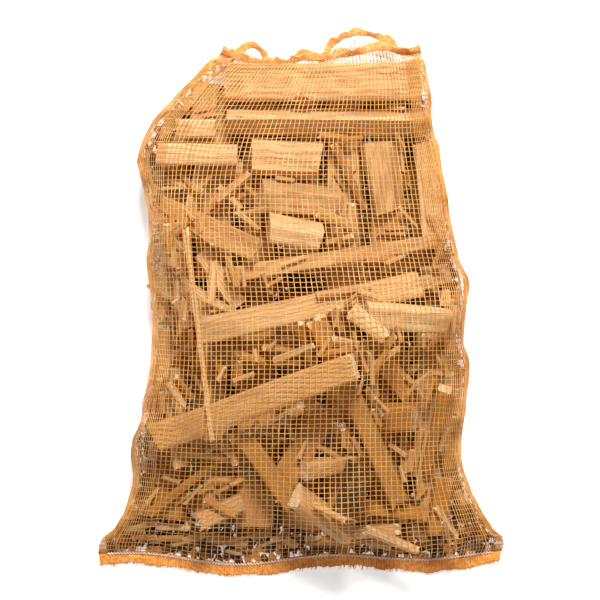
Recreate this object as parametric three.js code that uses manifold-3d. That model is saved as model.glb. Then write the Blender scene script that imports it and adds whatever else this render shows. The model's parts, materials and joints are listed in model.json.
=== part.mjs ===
// A net sack filled with split firewood, lying on its back on the floor.
// Millimetres, +Z up. +Y runs from the foot of the sack to its mouth. The origin is on the floor,
// under the middle of the sack's length and width.
//
// The sticks are laid one after another, as they would be by hand: each one comes down on the heap
// below it, tips along and across until it lies as low as it can, and stays there. The net is then
// drawn over the heap like a skin.

import * as THREE from "three";
import { mergeVertices } from "three/addons/utils/BufferGeometryUtils.js";
import Module from "manifold-3d";

const wasm = await Module();
wasm.setup();

// ---- Driving dimensions ----
const NET_WALL = 1.4; // net, with its two thread layers
const NET_CLEARANCE = 1.2; // least room between the net and a stick
const STICK_GAP = 0.7; // least room between two sticks
const NET_COLUMNS = 21;
const NET_ROWS = 28;
const FOOT_RISE = 3.6; // thickness of the empty net at the foot and at the sides' lowest part
const SIDE_RISE = 26; // height of the side wall where nothing pushes it higher
const SIDE_TUCK = 3; // height at which the side leaves the underside
const MOUTH_LOW = 16; // the mouth's slit, from this height
const MOUTH_HIGH = 40; // to this height
const HEM_WIDTH = 13;
const HEM_THICKNESS = 2.6;
const HEM_GAP = 0.5;
const HEM_TAPER = 3;
const MOUTH_HEM_WIDTH = 8;
const MOUTH_HALF_OPENING = 9; // half the height of the frilled band's own opening
const MOUTH_GAP = 2; // between the sack's end wall and its frilled band
const MOUTH_HEM_THICKNESS = 1.8;
const THREAD_WIDTH = 1.8;
const CELL = 2; // spacing of the heights that the heap is measured on
const HEAP_HALF_WIDTH = 240;
const HEAP_HALF_LENGTH = 300;
const STEEPEST_PITCH = 0.42;
const STEEPEST_ROLL = 0.45;

// ---- Sections of split wood: [across, up] as shares of the stick's width and height ----
const SECTIONS = {
  plank: [[-0.46, 0], [0.47, 0], [0.5, 0.12], [0.49, 0.9], [0.42, 1], [-0.4, 0.97], [-0.5, 0.85]],
  block: [[-0.42, 0], [0.45, 0], [0.5, 0.3], [0.46, 0.86], [0.3, 1], [-0.36, 0.95], [-0.5, 0.5]],
  wedge: [[-0.5, 0], [0.5, 0], [0.44, 0.24], [0.12, 0.96], [-0.04, 1], [-0.45, 0.3]],
  lean: [[-0.5, 0], [0.46, 0], [0.5, 0.14], [0.34, 0.62], [-0.2, 1], [-0.42, 0.94], [-0.5, 0.4]],
  round: [
    [-0.34, 0], [0.34, 0], [0.5, 0.3], [0.46, 0.66], [0.24, 0.95], [-0.2, 1], [-0.46, 0.7], [-0.5, 0.32],
  ],
  sliver: [[-0.42, 0], [0.44, 0], [0.5, 0.6], [0.1, 1], [-0.46, 0.8]],
};

// ---- The sticks, in the order in which they lie, lowest first ----
// [name, [x, y] of one end, [x, y] of the other, width, height, section, width of the far end as a share]
const STICKS = [
  // The lowest layer, on the back of the net
  ["base_log_1", [-135, -220], [-129, -26], 38, 30, "block", 0.94],
  ["base_log_2", [-91, -226], [-92, 6], 39, 34, "wedge", 0.95],
  ["base_log_3", [-47, -229], [-46, -20], 41, 30, "plank", 0.95],
  ["base_log_4", [-2, -232], [-1, 12], 41, 33, "lean", 0.96],
  ["base_log_5", [43, -226], [43, -10], 40, 29, "block", 0.96],
  ["base_log_6", [88, -229], [87, 4], 41, 32, "wedge", 0.96],
  ["base_log_7", [133, -222], [131, -18], 38, 28, "plank", 0.95],
  ["base_log_8", [-132, -10], [-124, 172], 36, 28, "block", 0.92],
  ["base_log_9", [-90, 19], [-85, 214], 37, 31, "plank", 0.95],
  ["base_log_10", [-46, -6], [-41, 222], 38, 34, "wedge", 0.96],
  ["base_log_11", [-2, 26], [2, 222], 37, 29, "lean", 0.96],
  ["base_log_12", [42, 4], [46, 222], 38, 33, "block", 0.96],
  ["base_log_13", [87, 18], [89, 220], 36, 30, "plank", 0.95],
  ["base_log_14", [129, -5], [123, 149], 27, 27, "wedge", 0.94],
  // The middle of the heap
  ["cross_split_1", [-94, 218], [-102, 150], 28, 24, "plank", 0.95],
  ["cross_split_2", [-97, 141], [-114, 76], 17, 20, "lean", 0.9],
  ["cross_split_3", [-100, 50], [-62, -5], 20, 24, "plank", 0.9],
  ["dark_split_1", [80, -58], [110, -98], 26, 18, "block", 0.9],
  ["corner_split_1", [155, -64], [149, -168], 18, 26, "lean", 0.9],
  ["corner_split_2", [143, -176], [134, -234], 22, 20, "block", 0.9],
  ["prop_split_1", [-131, -66], [-120, -166], 22, 34, "lean", 0.94],
  ["cross_split_4", [28, -105], [-22, -185], 28, 22, "plank", 0.94],
  ["cross_split_5", [-68, -150], [3, -102], 11, 16, "lean", 0.9],
  ["cross_split_6", [-2, -166], [75, -152], 18, 18, "plank", 0.92],
  ["cross_split_7", [58, -113], [118, -112], 28, 20, "plank", 0.95],
  ["foot_split_1", [60, -205], [128, -212], 16, 18, "lean", 0.9],
  ["foot_split_2", [48, -234], [102, -226], 14, 16, "plank", 0.9],
  ["foot_split_4", [-107, -221], [-59, -200], 20, 20, "plank", 0.95],
  ["cross_split_8", [-152, -213], [-74, -153], 10, 13, "sliver", 0.85],
  ["cross_split_9", [-92, -53], [0, -53], 28, 22, "plank", 0.95],
  ["cross_split_10", [36, 12], [38, -48], 23, 22, "block", 0.94],
  ["cross_split_11", [50, -2], [146, 26], 17, 18, "plank", 0.9],
  ["side_split_1", [124, 160], [133, 52], 26, 24, "plank", 0.96],
  ["top_log_1", [-78, 217], [120, 218], 41, 36, "plank", 0.98],
  ["top_log_2", [-76, 180], [128, 181], 30, 34, "wedge", 0.96],
  ["fan_split_1", [77, 160], [86, 88], 38, 24, "lean", 0.72],
  ["fan_split_2", [32, 160], [64, 92], 10, 22, "sliver", 0.9],
  ["cut_block_1", [-52, 144], [18, 140], 38, 32, "block", 0.98],
  ["cut_block_2", [-42, 110], [34, 104], 27, 28, "plank", 0.96],
  ["cut_block_3", [-34, 77], [18, 69], 29, 28, "block", 0.96],
  ["cut_block_4", [-80, 129], [-58, 130], 18, 20, "block", 0.96],
  ["cut_block_6", [-143, 146], [-62, 145], 23, 22, "plank", 0.98],
  ["cut_block_7", [-124, 171], [-84, 171], 22, 20, "block", 0.96],
  ["side_split_2", [-143, 28], [-56, -24], 25, 22, "plank", 0.92],
  ["middle_split_1", [-75, 25], [135, 60], 17, 18, "plank", 0.85],
  // The top of the heap
  ["middle_split_2", [-138, 91], [-40, 49], 29, 18, "plank", 0.88],
  ["middle_split_3", [-102, -32], [118, 18], 29, 24, "plank", 0.9],
  ["long_split_1", [12, -12], [98, -200], 21, 19, "plank", 0.95],
  ["long_split_2", [-60, -130], [-4, -206], 21, 20, "plank", 0.95],
  ["foot_log", [-9, -188], [43, -229], 27, 24, "lean", 0.96],
  ["bark_split", [58, -163], [40, -213], 32, 22, "round", 0.9],
  ["top_split_3", [56, -62], [92, -22], 20, 18, "plank", 0.94],
  ["top_split_1", [60, -10], [142, -15], 25, 20, "plank", 0.94],
  ["long_split_3", [143, -82], [127, -166], 13, 18, "plank", 0.92],
  ["top_split_2", [-142, -133], [56, -62], 31, 22, "plank", 0.9],
  ["thin_split", [-112, 72], [-86, -137], 6.5, 7, "sliver", 0.85],
];

// ---- The sack's outline, seen from above: half-outlines as [y, x] from the foot to the mouth ----
const LEFT_SIDE = [
  [-262, -203], [-240, -199], [-210, -186], [-180, -176], [-148, -179], [-113, -165], [-60, -157],
  [-8, -155], [42, -162], [65, -156], [110, -163], [141, -171], [171, -160], [198, -136], [235, -103],
  [250, -84],
];
const RIGHT_SIDE = [
  [-262, 203], [-227, 196], [-180, 174], [-155, 167], [-103, 171], [-66, 177], [-35, 167], [0, 172],
  [24, 176], [43, 164], [90, 155], [130, 147], [178, 136], [205, 136], [223, 130], [250, 122],
];
const SACK_FOOT = -257;
const SACK_MOUTH = 254;
const FOOT_ROW = 9; // the net's first two rows lie this close, because it rises steeply from its hem
const MOUTH_ROW = 7; // and its last two, where it turns down to the mouth

// Where the foot of the sack runs, as a wave about SACK_FOOT
const footWave = (x) => 4.2 * Math.sin(x / 31 + 0.6) - 3.2 * Math.sin(x / 74 + 2.1);

// How far the mouth's edge stands out past SACK_MOUTH: two frilled lobes with a dip between them
function mouthWave(x) {
  const lobe = (at, halfWidth, reach) => reach * Math.exp(-(((x - at) / halfWidth) ** 2));
  return lobe(-52, 13, 5) + lobe(56, 24, 15) + lobe(108, 12, 4) - 5 + 0.8 * Math.sin(x / 5);
}

// A seeded source of small irregularities, so that every stick differs and every build is the same
function makeRandom(seed) {
  let state = seed >>> 0;
  return () => {
    state = (Math.imul(state, 1664525) + 1013904223) >>> 0;
    return state / 4294967296;
  };
}

function sideAt(side, y) {
  const last = side.length - 1;
  if (y <= side[0][0]) return side[0][1];
  for (let i = 0; i < last; i += 1) {
    const [y0, x0] = side[i];
    const [y1, x1] = side[i + 1];
    if (y <= y1) {
      const t = (y - y0) / (y1 - y0);
      return x0 + (x1 - x0) * (t * t * (3 - 2 * t) * 0.5 + t * 0.5);
    }
  }
  return side[last][1];
}

// ---- The heap: a square grid of heights ----
const heapColumns = Math.round((2 * HEAP_HALF_WIDTH) / CELL) + 1;
const heapRows = Math.round((2 * HEAP_HALF_LENGTH) / CELL) + 1;
const heapTop = new Float64Array(heapColumns * heapRows).fill(NET_WALL + NET_CLEARANCE);

const columnOf = (x) => (x + HEAP_HALF_WIDTH) / CELL;
const rowOf = (y) => (y + HEAP_HALF_LENGTH) / CELL;

// Calls visit(index, z) for each grid point under each triangle of a placed solid
function overGrid(geometry, visit) {
  const p = geometry.attributes.position;
  const order = geometry.index;
  const count = order ? order.count : p.count;
  for (let k = 0; k < count; k += 3) {
    const [a, b, c] = [0, 1, 2].map((j) => (order ? order.getX(k + j) : k + j));
    const [ax, ay, az] = [columnOf(p.getX(a)), rowOf(p.getY(a)), p.getZ(a)];
    const [bx, by, bz] = [columnOf(p.getX(b)), rowOf(p.getY(b)), p.getZ(b)];
    const [cx, cy, cz] = [columnOf(p.getX(c)), rowOf(p.getY(c)), p.getZ(c)];
    const area = (bx - ax) * (cy - ay) - (cx - ax) * (by - ay);
    if (Math.abs(area) < 1e-9) continue;
    for (let j = Math.ceil(Math.min(ay, by, cy)); j <= Math.max(ay, by, cy); j += 1) {
      for (let i = Math.ceil(Math.min(ax, bx, cx)); i <= Math.max(ax, bx, cx); i += 1) {
        const v = ((i - ax) * (cy - ay) - (cx - ax) * (j - ay)) / area;
        const w = ((bx - ax) * (j - ay) - (i - ax) * (by - ay)) / area;
        if (v < -1e-6 || w < -1e-6 || v + w > 1 + 1e-6) continue;
        visit(j * heapColumns + i, az + v * (bz - az) + w * (cz - az));
      }
    }
  }
}

// The heap's height at a grid point, or at the highest of its neighbours
function heapNear(index) {
  let top = -Infinity;
  for (const row of [-heapColumns, 0, heapColumns]) {
    for (const column of [-1, 0, 1]) top = Math.max(top, heapTop[index + row + column]);
  }
  return top;
}

// The lowest plane z = c + pitch * s + roll * t that lies on the heap under a stick's footprint
function layPlane(centre, along, across, length, width) {
  const points = [];
  const reach = length / 2 + width;
  for (let y = centre.y - reach; y <= centre.y + reach; y += CELL) {
    for (let x = centre.x - reach; x <= centre.x + reach; x += CELL) {
      const i = Math.round(columnOf(x));
      const j = Math.round(rowOf(y));
      const dx = i * CELL - HEAP_HALF_WIDTH - centre.x;
      const dy = j * CELL - HEAP_HALF_LENGTH - centre.y;
      const s = dx * along.x + dy * along.y;
      const t = dx * across.x + dy * across.y;
      if (Math.abs(s) > length / 2 || Math.abs(t) > width / 2) continue;
      points.push([s, t, heapNear(j * heapColumns + i)]);
    }
  }
  const heightOf = (pitch, roll) => {
    let top = -Infinity;
    for (const [s, t, z] of points) top = Math.max(top, z - pitch * s - roll * t);
    return top + 4 * Math.abs(roll) + 4 * Math.abs(pitch);
  };
  const lowest = (measure, limit) => {
    let low = -limit;
    let high = limit;
    for (let k = 0; k < 22; k += 1) {
      const a = low + (high - low) * 0.382;
      const b = low + (high - low) * 0.618;
      if (measure(a) < measure(b)) high = b;
      else low = a;
    }
    return (low + high) / 2;
  };
  const rollFor = (pitch) => lowest((roll) => heightOf(pitch, roll), STEEPEST_ROLL);
  const pitch = lowest((value) => heightOf(value, rollFor(value)), STEEPEST_PITCH);
  return { pitch, roll: rollFor(pitch) };
}

// A stick of split wood along +X, centred, with its lower face on z = 0 and its far end at +X
function stickGeometry(length, width, height, section, farShare, random) {
  const points = SECTIONS[section].map(([across, up]) => {
    const level = up < 0.01 ? 0 : up + (random() - 0.5) * 0.1;
    return new THREE.Vector2((across + (random() - 0.5) * 0.05) * width, level * height);
  });
  const geometry = new THREE.ExtrudeGeometry(new THREE.Shape(points), {
    depth: length, steps: 1, bevelEnabled: false,
  });
  // The extrusion runs along its own z, so across, up and along become y, z and x
  geometry.applyMatrix4(new THREE.Matrix4().set(0, 0, 1, -length / 2, 1, 0, 0, 0, 0, 1, 0, 0, 0, 0, 0, 1));
  const skewNear = (random() - 0.5) * 0.3;
  const skewFar = (random() - 0.5) * 0.3;
  const p = geometry.attributes.position;
  for (let i = 0; i < p.count; i += 1) {
    const far = p.getX(i) > 0;
    const share = far ? farShare : 1;
    const lean = (far ? skewFar : skewNear) * p.getY(i);
    p.setXYZ(i, p.getX(i) * (1 - 0.004 * width / 10) + lean, p.getY(i) * share, p.getZ(i) * share);
  }
  return welded(geometry);
}

// Lays one stick on the heap and returns its geometry in place
function layStick([name, from, to, width, height, section, farShare], number) {
  const random = makeRandom(977 * (number + 3));
  const start = new THREE.Vector2(...from);
  const end = new THREE.Vector2(...to);
  const centre = start.clone().add(end).multiplyScalar(0.5);
  const along = end.clone().sub(start);
  const length = along.length();
  along.normalize();
  const across = new THREE.Vector2(-along.y, along.x);
  const { pitch, roll } = layPlane(centre, along, across, length, width);
  const geometry = stickGeometry(length * Math.hypot(1, pitch), width, height, section, farShare, random);
  const ex = new THREE.Vector3(along.x, along.y, pitch).normalize();
  const side = new THREE.Vector3(across.x, across.y, roll);
  const ez = new THREE.Vector3().crossVectors(ex, side).normalize();
  const ey = new THREE.Vector3().crossVectors(ez, ex);
  const place = new THREE.Matrix4().makeBasis(ex, ey, ez).setPosition(centre.x, centre.y, 0);
  geometry.applyMatrix4(place);
  let rise = -Infinity;
  overGrid(geometry, (index, z) => {
    rise = Math.max(rise, heapNear(index) - z);
  });
  geometry.translate(0, 0, rise + STICK_GAP);
  overGrid(geometry, (index, z) => {
    heapTop[index] = Math.max(heapTop[index], z);
  });
  return geometry;
}

// The same surface with its shared corners joined, as a closed solid needs
function welded(geometry) {
  geometry.deleteAttribute("normal");
  geometry.deleteAttribute("uv");
  return mergeVertices(geometry, 1e-4);
}

// ---- The net: a skin over the heap ----
const smooth = (value) => value * value * (3 - 2 * value);
const clamp01 = (value) => Math.min(1, Math.max(0, value));

// Where a point of the net lies, seen from above: u runs from left to right, v from foot to mouth
function netPlace(u, v, grow) {
  const row = v * NET_ROWS;
  const evenRow = (SACK_MOUTH - SACK_FOOT - 2 * FOOT_ROW - 2 * MOUTH_ROW) / (NET_ROWS - 4);
  const footRows = Math.min(row, 2);
  const mouthRows = Math.max(0, row - NET_ROWS + 2);
  const evenRows = row - footRows - mouthRows;
  const level = SACK_FOOT + FOOT_ROW * footRows + evenRow * evenRows + MOUTH_ROW * mouthRows;
  const left = sideAt(LEFT_SIDE, level) - grow;
  const right = sideAt(RIGHT_SIDE, level) + grow;
  const x = left + (right - left) * u;
  const footShare = 1 - smooth(clamp01(row / 4));
  const mouthShare = smooth(clamp01(mouthRows / 2));
  return [x, level + footWave(x) * footShare + mouthWave(x) * mouthShare];
}

// The height of the net's front over each of its grid points
function netHeights() {
  const heights = [];
  const least = [];
  for (let j = 0; j <= NET_ROWS; j += 1) {
    for (let i = 0; i <= NET_COLUMNS; i += 1) {
      const [x, y] = netPlace(i / NET_COLUMNS, j / NET_ROWS, 0);
      const reachX = 14;
      const reachY = j < 2 || j > NET_ROWS - 2 ? 6 : 14;
      let top = 0;
      for (let dy = -reachY; dy <= reachY; dy += CELL) {
        for (let dx = -reachX; dx <= reachX; dx += CELL) {
          const column = Math.min(heapColumns - 1, Math.max(0, Math.round(columnOf(x + dx))));
          const row = Math.min(heapRows - 1, Math.max(0, Math.round(rowOf(y + dy))));
          const value = heapTop[row * heapColumns + column];
          if (value > NET_WALL + NET_CLEARANCE) top = Math.max(top, value);
        }
      }
      const rim = FOOT_RISE + (SIDE_RISE - FOOT_RISE) * smooth(clamp01(j / 4));
      const atMouth = j === NET_ROWS ? MOUTH_HIGH : 0;
      const floor = j === 0 ? FOOT_RISE : Math.max(top + NET_CLEARANCE, FOOT_RISE);
      least.push(Math.max(floor, atMouth));
      heights.push(j === 0 || j === NET_ROWS ? Math.max(FOOT_RISE, atMouth) : Math.max(floor, rim));
    }
  }
  const at = (i, j) => j * (NET_COLUMNS + 1) + i;
  for (let pass = 0; pass < 60; pass += 1) {
    for (let j = 1; j < NET_ROWS; j += 1) {
      for (let i = 1; i < NET_COLUMNS; i += 1) {
        const beside = heights[at(i - 1, j)] + heights[at(i + 1, j)];
        const beyond = heights[at(i, j - 1)] + heights[at(i, j + 1)];
        heights[at(i, j)] = Math.max(least[at(i, j)], (beside + beyond) / 4);
      }
    }
  }
  return heights;
}

// A closed pillow whose front follows the given heights, grown outwards by an amount
function pillow(heights, grow) {
  const merged = welded(new THREE.BoxGeometry(1, 1, 1, NET_COLUMNS, NET_ROWS, 1));
  const p = merged.attributes.position;
  for (let k = 0; k < p.count; k += 1) {
    const i = Math.round((p.getX(k) + 0.5) * NET_COLUMNS);
    const j = Math.round((p.getY(k) + 0.5) * NET_ROWS);
    const u = i / NET_COLUMNS;
    const v = j / NET_ROWS;
    const [x, y] = netPlace(u, v, grow);
    const front = heights[j * (NET_COLUMNS + 1) + i] + grow;
    const edge = Math.min(u, 1 - u) * NET_COLUMNS;
    const tuck = edge < 0.5 ? SIDE_TUCK * smooth(clamp01(j / 4)) : 0;
    const mouth = v > 0.999 ? MOUTH_LOW : 0;
    const back = Math.max(tuck, mouth) + NET_WALL - grow;
    const endShift = j < 2 ? -grow : j > NET_ROWS - 2 ? grow : 0;
    p.setXYZ(k, x, y + endShift, p.getZ(k) > 0 ? front : back);
  }
  return merged;
}

function toManifold(geometry) {
  return new wasm.Manifold(new wasm.Mesh({
    numProp: 3,
    vertProperties: new Float32Array(geometry.attributes.position.array),
    triVerts: new Uint32Array(geometry.index.array),
  }));
}

function fromManifold(solid) {
  const mesh = solid.getMesh();
  const geometry = new THREE.BufferGeometry();
  geometry.setAttribute("position", new THREE.BufferAttribute(new Float32Array(mesh.vertProperties), 3));
  geometry.setIndex(new THREE.BufferAttribute(new Uint32Array(mesh.triVerts), 1));
  return geometry;
}

function netGeometry() {
  const heights = netHeights();
  const outer = toManifold(pillow(heights, NET_WALL));
  const inner = toManifold(pillow(heights, 0));
  const left = sideAt(LEFT_SIDE, SACK_MOUTH) + 8;
  const right = sideAt(RIGHT_SIDE, SACK_MOUTH) - 8;
  const slit = new THREE.BoxGeometry(right - left, 40, MOUTH_HIGH - MOUTH_LOW - 3);
  slit.translate((left + right) / 2, SACK_MOUTH + 8, (MOUTH_LOW + MOUTH_HIGH) / 2);
  return fromManifold(outer.subtract(inner).subtract(toManifold(welded(slit))));
}

// ---- The bottom hem: a wavy woven band ----
function hemGeometry() {
  const steps = 44;
  const left = sideAt(LEFT_SIDE, SACK_FOOT) - 4;
  const right = sideAt(RIGHT_SIDE, SACK_FOOT) + 2;
  const merged = welded(new THREE.BoxGeometry(1, 1, 1, steps, 1, 1));
  const p = merged.attributes.position;
  for (let k = 0; k < p.count; k += 1) {
    const share = p.getX(k) + 0.5;
    const x = left + (right - left) * share;
    const inset = HEM_WIDTH * (p.getY(k) > 0 ? 0 : 1);
    const top = SACK_FOOT + footWave(x) - NET_WALL - HEM_GAP;
    const narrowed = inset > 0 ? HEM_TAPER * (0.5 - share) : 0;
    p.setXYZ(k, x + narrowed, top - inset, p.getZ(k) > 0 ? HEM_THICKNESS : 0);
  }
  return merged;
}

// The white thread that runs along the hem's upper edge, on its front
function threadGeometry() {
  const points = [];
  const left = sideAt(LEFT_SIDE, SACK_FOOT) - 1;
  const right = sideAt(RIGHT_SIDE, SACK_FOOT) - 1;
  for (let k = 0; k <= 40; k += 1) {
    const x = left + ((right - left) * k) / 40;
    const y = SACK_FOOT + footWave(x) - NET_WALL - HEM_GAP - 2.2;
    points.push(new THREE.Vector3(x, y, HEM_THICKNESS + 0.4 + THREAD_WIDTH / 2));
  }
  const half = THREAD_WIDTH / 2;
  const profile = new THREE.Shape([
    new THREE.Vector2(-half, -half), new THREE.Vector2(half, -half),
    new THREE.Vector2(half, half), new THREE.Vector2(-half, half),
  ]);
  const geometry = new THREE.ExtrudeGeometry(profile, {
    steps: 60, bevelEnabled: false, extrudePath: new THREE.CatmullRomCurve3(points),
  });
  return welded(geometry);
}

// ---- The mouth hem: a frilled band round the slit of the mouth ----
function mouthHemGeometry() {
  const left = sideAt(LEFT_SIDE, SACK_MOUTH) + 4;
  const right = sideAt(RIGHT_SIDE, SACK_MOUTH) - 2;
  const middle = (MOUTH_LOW + MOUTH_HIGH) / 2;
  const loop = (grow) => {
    const points = [];
    const steps = 56;
    for (let k = 0; k < steps; k += 1) {
      const angle = (2 * Math.PI * k) / steps;
      const halfLength = (right - left) / 2 + grow;
      const x = (left + right) / 2 + halfLength * Math.cos(angle);
      const frill = 2.4 * Math.sin(11 * angle + 1) * Math.sin(angle);
      const bulge = Math.sign(Math.sin(angle)) * Math.sqrt(Math.abs(Math.sin(angle)));
      const z = (MOUTH_HALF_OPENING + grow) * bulge;
      points.push(new THREE.Vector2(x, middle + z + frill));
    }
    return points;
  };
  const band = new THREE.Shape(loop(MOUTH_HEM_THICKNESS));
  band.holes.push(new THREE.Path(loop(0)));
  const depth = MOUTH_HEM_WIDTH;
  const geometry = new THREE.ExtrudeGeometry(band, { depth, steps: 1, bevelEnabled: false });
  const p = geometry.attributes.position;
  for (let k = 0; k < p.count; k += 1) {
    const x = p.getX(k);
    const outward = p.getZ(k);
    p.setXYZ(k, x, SACK_MOUTH + mouthWave(x) + NET_WALL + MOUTH_GAP + outward, p.getY(k));
  }
  const merged = welded(geometry);
  // Swapping y and z mirrors the band, so its faces are turned round again
  const order = merged.index.array;
  for (let k = 0; k < order.length; k += 3) [order[k], order[k + 1]] = [order[k + 1], order[k]];
  return merged;
}

// ---- Materials ----
const woodColours = [0xe6bc86, 0xdcab72, 0xd29a5e, 0xe0b27a, 0xc98f55];
const woodMaterials = woodColours.map(
  (colour) => new THREE.MeshStandardMaterial({ color: colour, roughness: 0.78, metalness: 0 }),
);
const netMaterial = new THREE.MeshStandardMaterial({ color: 0xd8853b, roughness: 0.45, metalness: 0 });
const hemMaterial = new THREE.MeshStandardMaterial({ color: 0xc8692a, roughness: 0.6, metalness: 0 });
const mouthMaterial = new THREE.MeshStandardMaterial({ color: 0xe09048, roughness: 0.55, metalness: 0 });
const threadMaterial = new THREE.MeshStandardMaterial({ color: 0xf2ece0, roughness: 0.7, metalness: 0 });

// ---- Assembly ----
function addPiece(group, name, geometry, material) {
  const mesh = new THREE.Mesh(geometry, material);
  mesh.name = name;
  group.add(mesh);
  return mesh;
}

const group = new THREE.Group();
STICKS.forEach((row, number) => {
  addPiece(group, row[0], layStick(row, number), woodMaterials[number % woodMaterials.length]);
});
addPiece(group, "net_sack", netGeometry(), netMaterial);
addPiece(group, "bottom_hem", hemGeometry(), hemMaterial);
addPiece(group, "seam_thread", threadGeometry(), threadMaterial);
addPiece(group, "mouth_hem", mouthHemGeometry(), mouthMaterial);

// The origin goes under the middle of the whole, on the floor
const whole = new THREE.Box3().setFromObject(group, true);
const middle = whole.getCenter(new THREE.Vector3());
group.position.set(-middle.x, -middle.y, -whole.min.z);
group.updateMatrixWorld(true);

export default group;
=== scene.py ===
"""A net sack of split firewood, lying on its back on a pale floor.

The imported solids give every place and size. Each stick is drawn again as torn and sawn wood round
its own plain solid, small splits and chips are laid in the gaps of the heap, and the skin of the
sack becomes an open net of flat tapes that is pulled tight over the heap.
"""

import itertools
import json
import logging
import math
from dataclasses import dataclass, field
from enum import Enum

import bmesh
import bpy
import numpy as np
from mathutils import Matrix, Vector
from mathutils.bvhtree import BVHTree

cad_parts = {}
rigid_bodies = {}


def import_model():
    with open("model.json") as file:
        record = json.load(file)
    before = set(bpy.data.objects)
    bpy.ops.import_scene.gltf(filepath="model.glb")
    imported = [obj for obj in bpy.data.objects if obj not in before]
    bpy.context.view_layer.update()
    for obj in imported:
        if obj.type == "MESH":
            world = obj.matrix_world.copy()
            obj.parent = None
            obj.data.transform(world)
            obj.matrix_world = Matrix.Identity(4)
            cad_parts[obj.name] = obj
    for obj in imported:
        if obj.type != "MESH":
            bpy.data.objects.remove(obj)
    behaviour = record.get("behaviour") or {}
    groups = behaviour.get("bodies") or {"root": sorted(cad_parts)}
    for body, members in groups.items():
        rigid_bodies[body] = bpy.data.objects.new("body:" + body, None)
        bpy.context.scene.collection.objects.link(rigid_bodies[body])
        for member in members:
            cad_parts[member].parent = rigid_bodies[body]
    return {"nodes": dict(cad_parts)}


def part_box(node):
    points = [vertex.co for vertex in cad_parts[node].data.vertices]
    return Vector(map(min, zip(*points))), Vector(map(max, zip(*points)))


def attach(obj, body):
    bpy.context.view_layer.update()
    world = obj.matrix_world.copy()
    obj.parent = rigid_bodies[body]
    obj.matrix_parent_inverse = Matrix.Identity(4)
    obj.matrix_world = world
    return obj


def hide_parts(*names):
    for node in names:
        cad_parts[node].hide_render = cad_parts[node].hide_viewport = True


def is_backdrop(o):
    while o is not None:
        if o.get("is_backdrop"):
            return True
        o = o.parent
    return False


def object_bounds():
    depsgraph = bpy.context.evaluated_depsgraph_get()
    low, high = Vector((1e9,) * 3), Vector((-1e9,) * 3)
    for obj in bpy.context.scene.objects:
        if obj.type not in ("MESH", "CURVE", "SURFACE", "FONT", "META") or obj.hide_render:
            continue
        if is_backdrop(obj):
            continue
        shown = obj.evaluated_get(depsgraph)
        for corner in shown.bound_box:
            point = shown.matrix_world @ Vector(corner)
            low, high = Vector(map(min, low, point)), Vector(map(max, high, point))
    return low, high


LOG = logging.getLogger("firewood")
MM = 0.001
BODY = "root"


class Slot(Enum):
    """The record's material slots."""

    WOOD = "split_wood"
    BARK = "bark_wood"
    NET = "net_thread"
    HEM = "hem_weave"
    THREAD = "seam_thread"


class EndCut(Enum):
    """How a stick's end was made."""

    SAWN = "sawn"
    TORN = "torn"


# ---------------------------------------------------------------------------
# Helpers
# ---------------------------------------------------------------------------


def linear(hex_colour: str) -> tuple[float, float, float, float]:
    """Turns an sRGB hex colour into linear light.

    Args:
        hex_colour: Six hexadecimal digits.

    Returns:
        Red, green, blue and an alpha of one.
    """
    shares = [int(hex_colour[i : i + 2], 16) / 255.0 for i in (0, 2, 4)]
    bent = [c / 12.92 if c <= 0.04045 else ((c + 0.055) / 1.055) ** 2.4 for c in shares]
    return (bent[0], bent[1], bent[2], 1.0)


def add_node(
    tree: bpy.types.NodeTree,
    kind: str,
    inputs: dict[str | int, object] | None = None,
    stops: list[tuple[float, str]] | None = None,
    **settings: object,
) -> bpy.types.Node:
    """Adds one shader node with its settings, values and links.

    Args:
        tree: The material's node tree.
        kind: The node's type name.
        inputs: What goes into each socket: a value, or another node's output.
        stops: A colour ramp's stops, each with its place and its sRGB hex colour.
        **settings: The node's own properties.

    Returns:
        The new node.
    """
    node = tree.nodes.new(kind)
    for name, value in settings.items():
        setattr(node, name, value)
    for key, value in (inputs or {}).items():
        if isinstance(value, bpy.types.NodeSocket):
            tree.links.new(value, node.inputs[key])
        else:
            node.inputs[key].default_value = value
    if stops:
        elements = node.color_ramp.elements
        while len(elements) < len(stops):
            elements.new(0.5)
        for element, (place, colour) in zip(elements, stops):
            element.position = place
            element.color = linear(colour)
    return node


def new_material(name: str) -> tuple[bpy.types.Material, bpy.types.NodeTree]:
    """Makes a node material with nothing but its shader, and gives it with its tree."""
    material = bpy.data.materials.new(name)
    material.use_nodes = True
    return material, material.node_tree


def dress(
    tree: bpy.types.NodeTree,
    colour: bpy.types.NodeSocket,
    gloss: tuple[float, float],
    height: bpy.types.NodeSocket | None = None,
    bump: tuple[float, float] = (0.0, 0.0),
) -> bpy.types.Node:
    """Joins a finish's colour, gloss and bump to its shader.

    Args:
        tree: The material's node tree.
        colour: The base colour.
        gloss: The roughness and the specular level.
        height: What raises the surface, if anything does.
        bump: The bump's strength, and its height in millimetres.

    Returns:
        The shader.
    """
    shader = tree.nodes["Principled BSDF"]
    tree.links.new(colour, shader.inputs["Base Color"])
    shader.inputs["Roughness"].default_value = gloss[0]
    shader.inputs["Specular IOR Level"].default_value = gloss[1]
    if height is not None:
        inputs = {"Height": height, "Strength": bump[0], "Distance": bump[1] * MM}
        raised = add_node(tree, "ShaderNodeBump", inputs).outputs[0]
        tree.links.new(raised, shader.inputs["Normal"])
    return shader


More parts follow.
